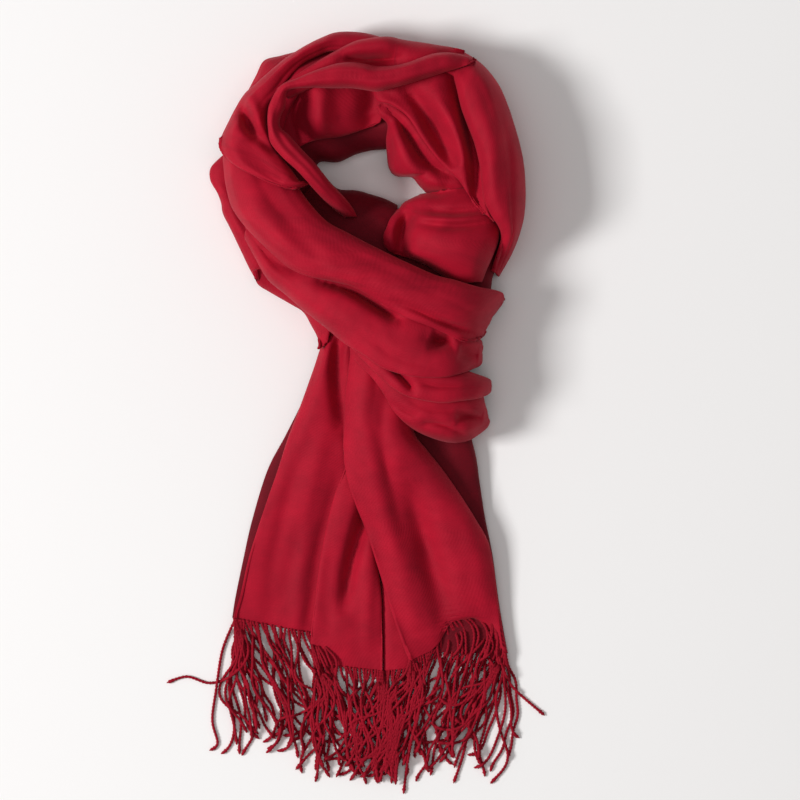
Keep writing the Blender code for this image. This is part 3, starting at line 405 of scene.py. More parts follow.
def soft_folds(shape, count, depth, seed):
    """Long shallow folds: bell curves across the stretch whose places drift as slow sine
    waves along it and whose depths swell and fade, one after another ridge and trough."""
    rng = np.random.default_rng(seed)
    along = np.linspace(0, 1, shape[0])[:, None]
    across = np.linspace(0, 1, shape[1])[None, :]
    field = np.zeros(shape)
    for number in range(count):
        middle = (number + rng.uniform(0.25, 0.75)) / count
        sway = 0.07 * np.sin(math.tau * (along * rng.uniform(0.4, 1.2) + rng.random()))
        swell = 0.55 + 0.45 * np.sin(
            math.tau * (along * rng.uniform(0.5, 1.6) + rng.random()))
        width = rng.uniform(0.035, 0.09)
        sign = 1 if number % 2 else -1
        field += sign * depth * swell * np.exp(-((across - middle - sway) / width) ** 2)
    return field


def cloth_ripple(points, size, seed):
    """A restless surface: sine waves in plan, each with its own direction, length and
    start, summed and divided by the root of their number."""
    rng = np.random.default_rng(seed)
    field = np.zeros(points.shape[:2])
    for _ in range(RIPPLES):
        turn = rng.uniform(0, math.tau)
        wave = math.tau / rng.uniform(*RIPPLE_LENGTHS)
        ahead = points[:, :, 0] * math.cos(turn) + points[:, :, 1] * math.sin(turn)
        field += np.sin(wave * ahead + rng.uniform(0, math.tau))
    return size * field / math.sqrt(RIPPLES)


# %% Settling and turned edges
LIFT_ROUNDS = 3             # times that the lift is made up to what the map asks for
SPREAD_ROUNDS = 26          # averages that spread a lift over the cloth beside it
TURN_STEPS = 7              # columns in an edge that turns under
LEAST_TURN = 0.5            # mm, a shorter turn isn't made
FULL_TURN = 3.0             # mm, a longer turn lifts its edge no more than this one
EDGE_SLOPE = 0.4            # mm of lift at the edge for a mm of turned cloth
TURN_DROP = (5.0, 2.2)      # how far turned cloth hangs: mm, and mm for a mm of its run
SMOOTH_ROUNDS = 8           # averages that even out which way is inwards


def edge_rise(run):
    """How far an edge stands above what its turned cloth lies on, mm: EDGE_SLOPE times
    the run, up to that of FULL_TURN."""
    return EDGE_SLOPE * np.minimum(run, FULL_TURN)


def settled(grid, edge_height):
    """Lift a surface clear of the map, its borders by the height of a turned edge more.
    The lift spreads out as a repeated soft average of itself, so the cloth bridges
    smoothly over what it meets."""
    wide = widened_map()
    need = needed_height(wide, grid[:, :, 0], grid[:, :, 1])
    need[:, :2] += edge_height[0][:, None]
    need[:, -2:] += edge_height[1][:, None]
    lift = np.zeros(grid.shape[:2])
    for _ in range(LIFT_ROUNDS):
        lift += np.maximum(need - grid[:, :, 2] - lift, 0)
        for _ in range(SPREAD_ROUNDS):
            lift = np.maximum(lift, softened(lift))
    grid[:, :, 2] += lift
    return grid


def turned_columns(edge, next_in, run, wide):
    """The cloth that turns under an edge: a quarter of an ellipse from the widest point
    down and inwards to what lies below, or as far down as the turned cloth reaches."""
    inward = next_in[:, :2] - edge[:, :2]
    inward = np.hstack([softened(inward[:, :1], SMOOTH_ROUNDS),
                        softened(inward[:, 1:], SMOOTH_ROUNDS)])
    inward /= np.maximum(np.linalg.norm(inward, axis=1), 0.1)[:, None]
    foot = edge[:, :2] + inward * run[:, None]
    rest = needed_height(wide, foot[:, 0], foot[:, 1]) + WALL
    edge[:, 2] = np.maximum(edge[:, 2], rest + edge_rise(run))
    rest = np.maximum(rest, edge[:, 2] - TURN_DROP[0] - TURN_DROP[1] * run)
    columns = []
    for step in range(1, TURN_STEPS + 1):
        angle = 0.5 * math.pi * step / TURN_STEPS
        place = edge[:, :2] + inward * (run * (1 - math.cos(angle)))[:, None]
        height = edge[:, 2] - (edge[:, 2] - rest) * math.sin(angle)
        floor_height = needed_height(wide, place[:, 0], place[:, 1]) + WALL
        columns.append(np.column_stack([place, np.maximum(height, floor_height)]))
    return columns


# %% Meshes
def lengths_of(grid, axis):
    """Running lengths along one direction of a grid."""
    steps = np.linalg.norm(np.diff(grid, axis=axis), axis=2)
    pad = [(0, 0), (0, 0)]
    pad[axis] = (1, 0)
    return np.pad(np.cumsum(steps, axis=axis), pad)


def add_mesh(name, points, faces, uv):
    """A named mesh object at the origin, smooth, from points and UVs in mm."""
    mesh = bpy.data.meshes.new(name)
    mesh.from_pydata((points * MM).tolist(), [], faces)
    layer = mesh.uv_layers.new(name="UVMap")
    corner = np.empty(len(mesh.loops), dtype=np.int32)
    mesh.loops.foreach_get("vertex_index", corner)
    layer.data.foreach_set("uv", uv[corner].astype(np.float32).ravel())
    mesh.polygons.foreach_set("use_smooth", np.ones(len(mesh.polygons), dtype=bool))
    mesh.update()
    piece = bpy.data.objects.new(name, mesh)
    bpy.context.scene.collection.objects.link(piece)
    return piece


def add_wall(piece, name, side):
    """Give a surface the cloth's wall: side 1 adds it outside, side -1 inside."""
    wall = piece.modifiers.new(name, "SOLIDIFY")
    wall.thickness = WALL * MM
    wall.offset = side


def grid_faces(rows, columns):
    """Quads of a grid of rows by columns points."""
    index = np.arange(rows * columns).reshape(rows, columns)
    return np.stack([index[:-1, :-1], index[1:, :-1], index[1:, 1:], index[:-1, 1:]],
                    axis=-1).reshape(-1, 4)


def cloth_uv(grid):
    """UVs of a grid in mm of cloth: the running lengths across and along it."""
    return np.stack([lengths_of(grid, 1), lengths_of(grid, 0)], axis=2).reshape(-1, 2)


def hand_over(piece, node, finish):
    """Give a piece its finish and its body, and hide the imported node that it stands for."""
    piece.data.materials.append(finish)
    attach(piece, "root")
    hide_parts(node)


# %% One stretch of cloth
SPACING = 1.7               # mm between grid lines
ALONG_LIMITS = (24, 190)    # fewest and most rows of a grid
ACROSS_LIMITS = (16, 110)   # fewest and most columns of a grid
DRAFT = (40, 24)            # rows and columns of the draft that is measured first
RIPPLE_HEIGHT = 0.22        # mm
INNER_COLUMN = 5            # the column that shows a border which way is inwards
stretches = {}


def drawn_grid(text, folds, soft, seed, same):
    """The rows' surface with its folds, before it is laid: the soft ones and the ripple
    move it along its normals, the pressed ones move it up or down."""
    rows = read_rows(text, **same)
    draft = section_grid({name: through(values, DRAFT[0]) for name, values in rows.items()},
                         DRAFT[1])
    length = lengths_of(draft, 0).max(axis=0).mean()
    width = lengths_of(draft, 1).max(axis=1).mean()
    along = int(np.clip(length / SPACING, *ALONG_LIMITS))
    across = int(np.clip(width / SPACING, *ACROSS_LIMITS))
    rows = {name: through(values, along) for name, values in rows.items()}
    grid = section_grid(rows, across)
    fade = np.sin(math.pi * np.linspace(0, 1, across))
    shape = soft_folds(grid.shape[:2], *soft, seed)
    shape += cloth_ripple(grid, RIPPLE_HEIGHT, seed + 1)
    grid += normals_of(grid) * (shape * fade[None, :])[:, :, None]
    for depth, reach, route in read_folds(folds):
        grid[:, :, 2] += pressed_fold(grid, depth, reach, route)
    return rows, grid


def add_stretch(node, text, folds="", soft=(4, 1.0), rests_on="ring_core", finish=twill,
                **same):
    """Lay one stretch of cloth over the map and make it a thin shell with a real wall.
    text holds its rows and folds its pressed folds; soft is the number and depth of its
    soft folds; same names the columns that are alike in every row."""
    rows, grid = drawn_grid(text, folds, soft, sum(map(ord, node)), same)
    runs = (rows["tl"], rows["tr"])
    grid = settled(grid, [np.where(run > LEAST_TURN, WALL + edge_rise(run), 0.0)
                          for run in runs])
    wide = widened_map()
    left, right = [np.maximum(run, LEAST_TURN) for run in runs]
    columns = [grid[:, column] for column in range(grid.shape[1])]
    if left.max() > LEAST_TURN:
        turned = turned_columns(columns[0], columns[INNER_COLUMN], left, wide)
        columns = turned[::-1] + columns
    if right.max() > LEAST_TURN:
        columns += turned_columns(columns[-1], columns[-1 - INNER_COLUMN], right, wide)
    grid = np.stack(columns, axis=1)
    lay_grid(grid + WALL * normals_of(grid))
    stretches[node] = grid
    faces = grid_faces(*grid.shape[:2])
    corner = grid.reshape(-1, 3)[faces[len(faces) // 2]]
    if np.cross(corner[1] - corner[0], corner[2] - corner[0])[2] < 0:
        faces = faces[:, ::-1]
    piece = add_mesh(node + "_cloth", grid.reshape(-1, 3), faces.tolist(), cloth_uv(grid))
    add_wall(piece, "cloth_wall", 1.0)
    hand_over(piece, node, finish)


# %% [markdown]
# ## The hidden layers
#
# Inside the ring and the tails lie turns of cloth that only show as a few edges. Folding
# them all would cost much and show little, so each place gets one low rounded form. The
# ring's has sides of stacked bulges, one for each layer of cloth, which wander a little,
# because layers never lie quite true.

# %% Ring and tail layers
RING_CENTRE = (15.0, 183.0)     # middle of the neck ring, mm
RING_LAYERS = """
angle inner outer top
0     50    100   30
20    40    102   32
40    36    99    32
60    38    92    32
80    44    94    30
100   46    96    30
120   46    94    30
140   50    90    30
160   56    92    28
180   54    94    28
200   46    92    28
220   36    82    30
240   30    92    32
255   30    112   34
270   32    136   36
285   34    168   36
295   38    166   36
305   44    140   36
320   50    118   34
340   56    104   32
"""
TAIL_LAYERS = """
xl   yl   xr   yr   top
18.2 43.4 53.5 22.1 12
-20  24   50   2    13
-30  0    66   -22  13
-40  -24  76   -46  11
-50  -50  84   -72  9
-58  -76  90   -98  7
-66  -104 94   -124 5.5
-72  -130 97   -146 4.5
"""
LAYERS = 4
BULGE = 1.3                 # how far one layer's edge stands out, mm
SIDE_PLACES = np.linspace(0.0, 0.7, 26)     # heights on a side, as shares of the whole
CROWN_PLACES = np.linspace(0.05, 0.95, 12)  # places over the crown, as shares of its width
RING_TURNS = np.linspace(0, math.tau, 181)[:-1]     # the angles of the ring's sections
FINE_PARTS = 9              # steps between two grid points when a wide grid is laid


def layered_profile(share, phase):
    """How far a side stands out at a share of its height: a row of half sine waves."""
    return BULGE * np.abs(np.sin(math.pi * (LAYERS * share + 0.18 * np.sin(phase))))


def add_ring_layers():
    """A closed band round the neck hole: each section rises from the inner side over a
    low crown to the outer side, and the sections turn once round RING_CENTRE. The sides
    reach 0.7 of the height, and the crown adds 0.3 times the root of a half sine."""
    rows = read_rows(RING_LAYERS)
    rows = {name: np.append(values, values[0]) for name, values in rows.items()}
    angle = np.radians(np.append(rows["angle"][:-1], 360.0))
    inner, outer, top = [np.interp(RING_TURNS, angle, rows[name])
                         for name in ("inner", "outer", "top")]
    columns = []
    for share in SIDE_PLACES:
        columns.append((inner - layered_profile(share, 5 * RING_TURNS) + share, share * top))
    for share in CROWN_PLACES:
        rise = 0.7 + 0.3 * math.sin(math.pi * share) ** 0.5
        columns.append((inner + (outer - inner) * share, rise * top))
    for share in SIDE_PLACES[::-1]:
        stands_out = layered_profile(share, 4 * RING_TURNS + 2)
        columns.append((outer + stands_out - share, share * top))
    radius, height = [np.stack(part, axis=1) for part in zip(*columns)]
    x = RING_CENTRE[0] + radius * np.cos(RING_TURNS)[:, None]
    y = RING_CENTRE[1] + radius * np.sin(RING_TURNS)[:, None]
    grid = np.stack([x, y, height], axis=2)
    lay_grid(np.concatenate([grid, grid[:1]], axis=0), FINE_PARTS)
    index = np.arange(radius.size).reshape(radius.shape)
    ahead = np.roll(index, -1, axis=0)
    beside = np.roll(index, -1, axis=1)
    both = np.roll(ahead, -1, axis=1)
    faces = np.stack([index, beside, both, ahead], axis=-1).reshape(-1, 4)
    # 2 mm of cloth for a column, and the arc at 80 mm from the centre for a turn
    uv = np.stack([np.broadcast_to(np.arange(len(columns)) * 2.0, radius.shape),
                   np.broadcast_to(RING_TURNS[:, None] * 80, radius.shape)], axis=2)
    piece = add_mesh("ring_hidden_layers", grid.reshape(-1, 3), faces.tolist(),
                     uv.reshape(-1, 2))
    # painted shade: the hidden layers get the darker twill, as little light reaches them
    hand_over(piece, "ring_core", twill_painted_shade)


def add_tail_layers():
    """A low long loaf under the tails: each section rises as the root of 9 times the
    share from its nearer side, up to flat, and has a wall inside."""
    rows = {name: through(values, 60) for name, values in read_rows(TAIL_LAYERS).items()}
    share = np.linspace(0.0, 1.0, 40)
    x = between(rows, "x", share)
    y = between(rows, "y", share)
    rise = np.minimum(1.0, 9 * np.minimum(share, 1 - share)) ** 0.5
    z = np.maximum(rows["top"][:, None] * rise, WALL)
    grid = np.stack([x, y, z], axis=2)
    lay_grid(grid, FINE_PARTS)
    piece = add_mesh("tail_hidden_layers", grid.reshape(-1, 3),
                     grid_faces(*grid.shape[:2]).tolist(), cloth_uv(grid))
    add_wall(piece, "layer_wall", -1.0)
    # painted shade: the hidden layers get the darker twill, as little light reaches them
    hand_over(piece, "tail_core", twill_painted_shade)


add_ring_layers()
add_tail_layers()
print("highest hidden layer:", round(map_top.max(), 1), "mm")

# %% [markdown]
# ## The tails
#
# The two doubled tails come out of the knot and lie one over the other. Six stretches of
# them show: two below, which are nearly black, a narrow edge and three in front. Cloth
# simulation would give folds of its own, so the ones of the photograph are pressed in one
# by one, over soft folds along each stretch. A bow lets the right tail's hem arch back.

# %% Tails
# painted shade: this lower stretch gets the darker twill, as it lies in shadow under the tails
# in front
add_stretch("tail_under_left", """
xl    yl   zl  tl xr  yr   zr top
-20   60   5   3  0   60   8  12
-29   40   6   3  2   36   8  14
-41   12   6   3  0   8    8  14
-55   -16  5   3  -4  -22  8  12
-69   -43  5   3  -8  -52  7  10
-81   -82  4.5 3  -12 -90  6  9
-88   -113 4   2  -14 -120 4  7
-94   -142 3.5 2  -16 -146 3  5
-96.5 -158 3   2  -18 -163 2  4
""", soft=(4, 0.5), rests_on="tail_core", finish=twill_painted_shade)

# painted shade: this lower stretch gets the darker twill, as it lies in shadow under the tails
# in front
add_stretch("tail_under_right", """
xl yl   zl xr  yr   zr  tr top
30 24   8  78  14   8   3  16
30 0    8  87  -14  8   3  20
28 -24  8  92  -33  8   3  18
26 -50  7  95  -54  7   3  14
26 -80  6  99  -80  6   3  11
28 -110 5  105 -110 5   3  9
32 -140 4  109 -140 4   2  7
36 -165 3  113 -165 3.5 2  5
40 -184 1  117 -186 3   2  4
""", soft=(4, 0.8), rests_on="tail_core", finish=twill_painted_shade)

add_stretch("tail_front_left", """
xl  yl   zl xr  yr   zr top
-14 76   14 6   74   16 26
-26 56   14 2   54   18 33
-33 36   14 0   34   18 34
-43 8    12 0   6    18 32
-53 -18  10 2   -18  16 27
-61 -43  8  4   -43  14 22
-69 -66  7  -4  -66  11 18
-77 -90  6  -11 -90  8  15
-84 -113 5  -16 -113 6  12
-90 -140 4  -20 -138 4  9
-94 -153 3  -23 -158 3  7
-95 -159 2  -25 -172 2  5
""", folds="""
10 6  -14 74  -14 30  -10 -14
3 7  -34 -10  -52 -60  -66 -120  -70 -158
-2 6  -26 -20  -36 -70  -44 -130  -46 -164
3.5 5  -12 -40  -26 -90  -33 -130  -38 -168
""", soft=(5, 1.2), rests_on="tail_under_left", tl=2, lean=0.4)

add_stretch("tail_narrow", """
xl   yl   zl xr yr   zr top lean
20.5 -112 7  34 -116 7  11  0.4
21.5 -140 6  41 -142 6  10  0.35
22   -165 5  46 -164 5  9   0.35
22.6 -184 4  50 -180 3  7   0.35
22.6 -199 2  43 -197 2  5   0.35
""", soft=(2, 0.6), rests_on="tail_core", tl=1)

add_stretch("tail_middle", """
xl  yl   zl xr   yr   zr top
-4  -28  20 8    -34  18 25
-10 -45  19 10   -50  18 25
-16 -60  18 13   -66  16 24
-22 -82  15 14   -88  13 21
-28 -113 11 17   -115 10 18
-32 -144 8  20   -142 8  15
-35 -168 6  20.5 -168 6  12
-35 -184 4  21   -188 4  8
-31 -194 2  20.5 -200 2  5
""", folds="""
14 6  12 -62  5 -84  -5 -118  -9 -150
-2 5  14 -100  10 -140  8 -186
2 6  -18 -100  -22 -140  -20 -180
""", soft=(4, 0.9), rests_on="tail_core", tl=1, tr=1)

add_stretch("tail_front_right", """
xl   yl   zl xr    yr   zr top lean bow
-4   60   22 30    40   22 42  0.4  0
-3   46   24 36    22   24 46  0.4  0
-6   24   24 44    4    22 48  0.4  0
-7.5 6    23 44    -14  20 48  0.4  0
-8   -12  22 54    -28  18 46  0.4  0
-8   -31  20 66    -43  16 42  0.4  0
-4.7 -51  18 80    -63  14 36  0.35 0
1.6  -70  16 92    -82  11 31  0.3  0
8    -86  15 101   -98  9  27  0.3  0
14   -104 13 105   -114 8  23  0.3  0
21   -126 11 108   -134 7  19  0.3  0
28   -150 9  110.5 -152 6  15  0.3  4
34   -168 7  113   -168 5  12  0.3  14
39   -182 5  115.5 -180 4  9   0.3  26
43   -191 3  117   -187 3  6   0.3  34
""", folds="""
14 11  40 -48  50 -88  62 -128  71 -170
-3 9  84 -76  94 -112  100 -150
-3 7  10 -20  20 -70  34 -120  48 -172
3.5 6  24 30  20 -10  28 -60  38 -100
""", soft=(5, 1.0), rests_on="tail_under_right", tl=2, tr=2)

# %% [markdown]
# ## The neck ring, inner and lower layers
#
# The ring is the doubled scarf bent round in one plane, so its pleats stand close and
# show as narrow bands. It could be one swept tube, but each band starts, narrows and
# dives at its own place, so each gets its own rows. They are laid from below to above.

# %% Ring, lower layers
add_stretch("back_edge_upper", """
xl     yl    zl tl xr  yr  zr top
-103   203   9  3  -80 202 14 18
-113   193   8  3  -82 190 14 18
-113.5 183   8  3  -84 180 14 17
-108   173   10 4  -84 170 16 20
-105   165   12 5  -82 162 18 24
-103.5 156.5 12 5  -78 152 18 25
-97.5  144.5 12 5  -72 140 18 25
-89.5  127.7 11 5  -64 128 16 24
-83.5  115   10 5  -57 118 14 22
-79    107   8  4  -52 112 12 18
""", lean=0.4)

add_stretch("back_edge_lower", """
xl    yl   zl tl xr  yr  zr top
-79.5 112  7  3  -58 124 12 14
-76.5 102  7  3  -50 114 12 16
-66   95   7  3  -40 106 12 18
-50.7 86.2 8  3  -28 100 12 20
-41   80   8  3  -18 90  14 22
-35   70   9  3  -14 78  14 24
-29.8 60   10 3  -18 70  12 20
-28.5 51.5 7  2  -22 57  8  13
""")

# painted shade: this inner layer gets the darker twill, as it lies in shadow inside the ring
add_stretch("ring_inner_left", """
xl  yl  zl xr  yr  zr top
-32 190 6  -50 206 20 18
-28 197 6  -40 216 22 20
-14 197 5  -20 224 24 20
0   203 5  -2  232 24 20
12  206 5  12  236 24 18
26  207 6  26  238 24 18
""", soft=(3, 0.8), finish=twill_painted_shade, tl=3, lean=0.6)

# painted shade: this inner layer gets the darker twill, as it lies in shadow inside the ring
add_stretch("ring_inner_lower", """
xl  yl    zl xr  yr  zr top
-26 186   6  -48 165 24 24
-15 175   6  -35 150 24 26
0   173.5 6  -14 138 24 26
11  170.5 6  2   130 24 26
22  167   6  16  124 24 26
32  162   6  30  118 24 26
""", soft=(3, 0.8), finish=twill_painted_shade, tl=3, lean=0.6)

add_stretch("ring_inner_wall", """
xl  yl  zl xr  yr  zr top
-62 222 20 -70 244 38 40
-48 208 20 -60 258 42 44
-38 211 20 -46 264 44 48
-27 214 22 -28 265 48 54
-12 216 20 -10 265 44 48
4   221 18 8   264 40 42
19  227 18 26  264 38 40
""", folds="""
-6 8  -28 212  -27 232  -26 254
13 9  -42 206  -50 228  -50 252
11 9  10 216  12 236  14 256
""", soft=(4, 0.8), tl=1, lean=0.8)

add_stretch("upper_left_flap", """
xl    yl    zl xr  yr  zr top
-94   236   8  -78 226 12 15
-86   249   9  -70 239 12 16
-78   264   9  -62 253 13 17
-71.5 276   9  -56 263 14 18
-58   280   9  -46 267 14 18
-42   284.5 10 -34 272 14 18
-26   291   11 -20 279 14 18
-8    295.5 11 -5  283 14 18
8     295   11 6   282 14 18
24    290.5 11 20  278 14 18
42    287   11 40  275 14 18
60    284.5 11 57  272 14 18
74    281.5 10 70  269 12 16
84    276.5 8  79  265 9  13
""", tl=3)

add_stretch("upper_left_gusset", """
xl  yl  zl xr  yr  zr top
-78 212 33 -58 208 33 38
-78 230 33 -56 228 33 38
-71 248 33 -50 242 33 38
-58 264 33 -40 256 33 38
-42 276 33 -26 266 33 38
-24 284 30 -12 272 33 38
-2  286 28 2   274 32 37
20  286 26 20  276 32 36
""", folds="""
8 5  -64 250  -50 265  -30 278  -6 284
""", soft=(2, 0.6))

add_stretch("ring_inner_right", """
xl   yl    zl tl xr yr  zr top lean
17   240   30 1  26 247 34 40  0.5
20   233   24 2  34 237 38 44  0.45
26   226   16 3  44 228 40 46  0.4
25   214   10 4  54 216 40 47  0.38
25.5 204   8  4  62 207 40 47  0.35
27   193   8  4  68 200 40 47  0.35
32   187.5 8  4  74 194 40 46  0.4
44   186.5 8  4  79 190 40 46  0.4
50   180   8  4  84 185 40 46  0.4
56   174   10 3  87 178 38 44  0.4
62   169   16 2  88 170 34 40  0.4
""", folds="""
13 4.5  22 238  33 227  42 214  49 203  58 194  72 186
-3 3.5  20 235  29 228  33 215  38 202  47 187  62 180  78 180
4 4  24 226  28 210  32 196  42 186
13 4  52 172  62 173  74 174
""", soft=(3, 0.6))

add_stretch("ring_pillow", """
xl yl  zl tl xr    yr  zr top lean
50 172 8  4  100   178 38 44  0.6
38 166 8  4  103   168 42 50  0.6
33 160 8  4  107   158 44 56  0.6
27 153 10 3  110   150 44 61  0.55
24 146 14 2  111.5 142 42 64  0.55
21 137 16 2  110.5 134 40 66  0.55
26 127 18 2  107.5 126 38 66  0.6
48 119 26 2  104   118 36 64  0.5
64 110 30 2  101   111 32 59  0.5
72 101 28 2  98    103 28 50  0.5
""", folds="""
22 6  43 158  37 143  36 122
5 3.5  46 149  78 146  112 151
-2.5 3.5  46 153  78 151  108 154
5 3.5  56 158  76 157  98 159
10 5  52 175  64 173  76 178
-3 12  58 138  80 130  98 122
""", soft=(3, 0.8))

add_stretch("ring_right_throat", """
xl   yl  zl tl xr  yr  zr top lean
13   257 36 1  84  272 36 50  0.6
15.6 244 38 2  85  258 44 54  0.6
27   240 44 3  87  248 46 57  0.6
40   231 50 3  89  237 48 60  0.6
51   214 54 3  92  224 50 62  0.6
62.6 199 56 3  96  209 50 63  0.6
73   188 56 3  99  196 50 63  0.6
80   181 55 2  101 182 50 62  0.55
86   172 54 1  103 168 48 62  0.5
93   163 52 1  105 158 46 61  0.5
99   156 50 1  108 150 44 59  0.5
""", folds="""
19 7  36 257  52 236  66 212  78 190
-5 4  60 262  66 241  76 222  82 200  80 184
16 5  74 268  81 244  88 218  92 196  93 172  96 156
3 4  20 252  34 243  46 228
""", soft=(3, 0.6))

add_stretch("ring_right_band", """
xl    yl  zl tl xr    yr    zr tr top lean
66    268 30 1  77    283.5 14 3  36  0.5
76    264 40 2  87    278.5 20 4  46  0.5
78    259 48 3  98.5  270   18 8  60  0.45
80    251 52 3  109.5 256   20 9  67  0.45
83    238 54 3  117   239   20 9  70  0.4
88    224 55 3  122   224   20 9  72  0.4
93    211 56 3  125.7 211   20 9  73  0.35
97    195 56 3  129   195   20 9  73  0.3
98.8  180 56 3  130.3 179   20 9  73  0.3
101   166 56 2  130.3 166   20 9  72  0.3
106   155 52 1  129   153   18 8  69  0.35
112   146 44 1  126.5 143   16 6  62  0.45
114   138 36 1  123.5 134   13 4  53  0.5
112   129 27 1  119.5 125   10 3  41  0.5
109   120 17 1  114.5 116   7  2  27  0.5
106.5 112 8  1  110   108.5 3  1  13  0.5
""", folds="""
3.5 6  106 254  114 226  117 200  116 164
-2 5  99 232  105 204  107 170
2 4  92 262  101 240  108 216
""", soft=(4, 1.0))

# %% [markdown]
# ## The knot
#
# The folded end comes over the tails as four bands, each on top of the one before. They
# are round on top and turned under at the edges that show, so rounded sections suit them.
# Their right-hand ends dive to the table, which the last rows of each one do.

# %% Knot
add_stretch("knot_band_lowest", """
xl   yl zl xr   yr    zr tr top
8    56 40 0    44    44 2  52
20   46 40 12   32    44 2  55
34   36 40 21.5 19.5  42 2  58
48   30 40 31.5 3     38 3  60
60   26 40 44.5 -9    34 4  61
72   24 40 60   -16.5 28 6  60
84   22 38 74   -20   24 6  57
92   19 32 85.5 -19   20 6  50
97   15 24 94   -14.5 16 5  39
98.5 11 13 101  -9    10 4  24
98.5 7  5  103  -5    5  2  10
""", folds="""
7 3  50 -5  66 -7  86 -15
14 4.5  76 -2  86 -1  98 -2
4 2.5  28 10  40 3  50 -1
3 3  40 12  58 4  76 4  92 8
""", soft=(3, 0.6))

add_stretch("knot_band_lower", """
xl    yl   zl xr    yr   zr tr top
4     66   46 -4    55   46 2  55
18    56   46 8     42.5 48 2  59
34    48   46 24    27   50 3  63
48    44   46 37    17.5 50 3  66
62    42   46 52    13   50 3  67
76    37   46 68    11   48 3  66
86    33   42 81.5  12.5 44 3  61
94.5  30   34 93    14   36 3  52
100.5 28   22 100.5 16.5 24 2  38
103.5 26.5 12 103.5 18.5 12 1  22
104   25   4  104   20.5 4  1  9
""", folds="""
14 3.5  27 38  37 28  45 19
3.5 2.5  44 27  64 22  92 22
""", soft=(3, 0.6), rests_on="knot_band_lowest")

add_stretch("knot_band_middle", """
xl   yl  zl xr    yr    zr tr top lean
-84  152 34 -85   138   20 3  36  0.5
-72  140 40 -76.5 122   24 3  46  0.55
-58  128 44 -67.5 106.5 28 3  53  0.55
-42  120 48 -53.5 94.5  34 3  59  0.55
-28  116 50 -39.5 82.3  40 3  65  0.55
-12  112 52 -23.5 69.7  44 3  69  0.55
4    107 54 -7.5  56.5  46 3  72  0.55
18   100 54 6     48.5  50 3  73  0.55
32   92  54 20    38.7  54 3  74  0.55
46   85  52 36    33    56 3  75  0.55
60   78  50 54    30.5  56 3  75  0.55
74   71  48 70    31    54 3  72  0.5
84   64  44 82    34    48 2  65  0.5
91   60  34 90    37    38 1  54  0.5
95.5 58  22 95.5  39.5  24 1  38  0.5
97   56  12 97    42    12 1  22  0.5
97   54  4  97    44.5  4  1  9   0.5
""", folds="""
20 6.5  56 59  65 57  76 59
12 6  78 49  86 47  94 46
6 6  -74 132  -60 118  -42 110
21 4.5  -26 103  -6 97  10 88  24 79  34 74
-2 7  -50 100  -20 80  10 60  40 48
2.5 4  -14 72  12 58  34 44  58 38
""", soft=(4, 0.7), rests_on="knot_band_lower")

add_stretch("knot_band_front", """
xl     yl    zl tl xr    yr    zr tr top
-98    214   20 2  -60   212   44 1  50
-103   202   20 3  -55   199   48 1  56
-102.5 188   22 4  -49   186   50 1  62
-100   173   26 4  -42   173   52 2  68
-95.5  159.5 30 3  -33   161   54 2  72
-84.5  144.5 38 3  -21   149   56 3  76
-69.5  129.3 46 2  -6    141   58 3  79
-52    114   52 2  8     133.5 60 3  81
-36    107   56 3  20    127.5 62 3  82
-18    103   58 3  32    121.5 62 3  83
-2     98.7  60 3  43    116.5 62 3  83
12     91    60 3  54    111.5 62 3  83
26     82    60 3  64    107.5 61 3  82
42     74    60 3  75    105   60 3  81
58     68    58 3  85    102   58 3  79
73     61    54 3  96    99    54 3  73
83     57    46 2  104   97.7  46 3  64
91     57.5  34 1  110   96.5  36 3  52
96.5   59.5  22 1  114   95    24 2  38
99.5   63    12 1  115.5 92    12 1  23
101    67    4  1  115   88    4  1  9
""", folds="""
6 2.6  30 88  50 80  70 71  98 60
3 2.4  66 72  80 69  94 66
3.5 8  -72 178  -50 148  -22 106
-2.5 7  -84 168  -58 136  -28 116  10 102  50 88
2.5 6  -60 176  -34 146  2 124  44 106  90 92
2 3.5  -92 164  -70 138  -46 120  -24 110
""", soft=(5, 0.9), rests_on="knot_band_middle")

# %% [markdown]
# ## The neck ring, top layers
#
# Three last bands lie over all the others: one down the left shoulder, one across the top
# and a narrow roll, where the cloth is turned over on itself. The roll could be a tube,
# but only its upper half shows, so it is a stretch whose two edges turn under.

# %% Ring, top layers
add_stretch("shoulder_band", """
xl     yl    zl tl xr  yr  zr top lean
30     290   26 3  26  279 36 40  0.5
8      296.5 26 4  2   281 38 44  0.5
-13    297.5 26 4  -18 282 40 47  0.5
-27    293   26 4  -30 278 42 51  0.5
-42    285   26 4  -41 272 44 55  0.5
-57    275   26 4  -51 262 46 58  0.5
-75    259.5 26 4  -59 248 48 61  0.5
-88    247.5 24 4  -66 238 48 63  0.55
-98.5  229   20 6  -68 224 50 65  0.55
-105.5 213   20 6  -64 208 52 67  0.55
-103.5 203   32 3  -56 198 54 69  0.55
-94    193.5 48 1  -49 189 54 71  0.6
-77    184   60 1  -43 181 54 72  0.6
-64    178   64 1  -40 180 52 71  0.5
-53    175.5 60 1  -37 180 50 67  0.5
-44    176   54 1  -35 180 48 60  0.5
-37    178   50 1  -32 180 46 54  0.5
""", folds="""
19 5  -90 244  -85 231  -78 216
-3.5 4  -84 247  -77 234  -74 216
6 4  -88 228  -78 218  -68 208  -60 200
6 10  -88 214  -74 196  -54 180
-2.5 4  -90 250  -74 264  -56 277  -34 288
3 4  -66 246  -54 262  -40 274  -18 284
""", soft=(4, 0.9), rests_on="knot_band_front")

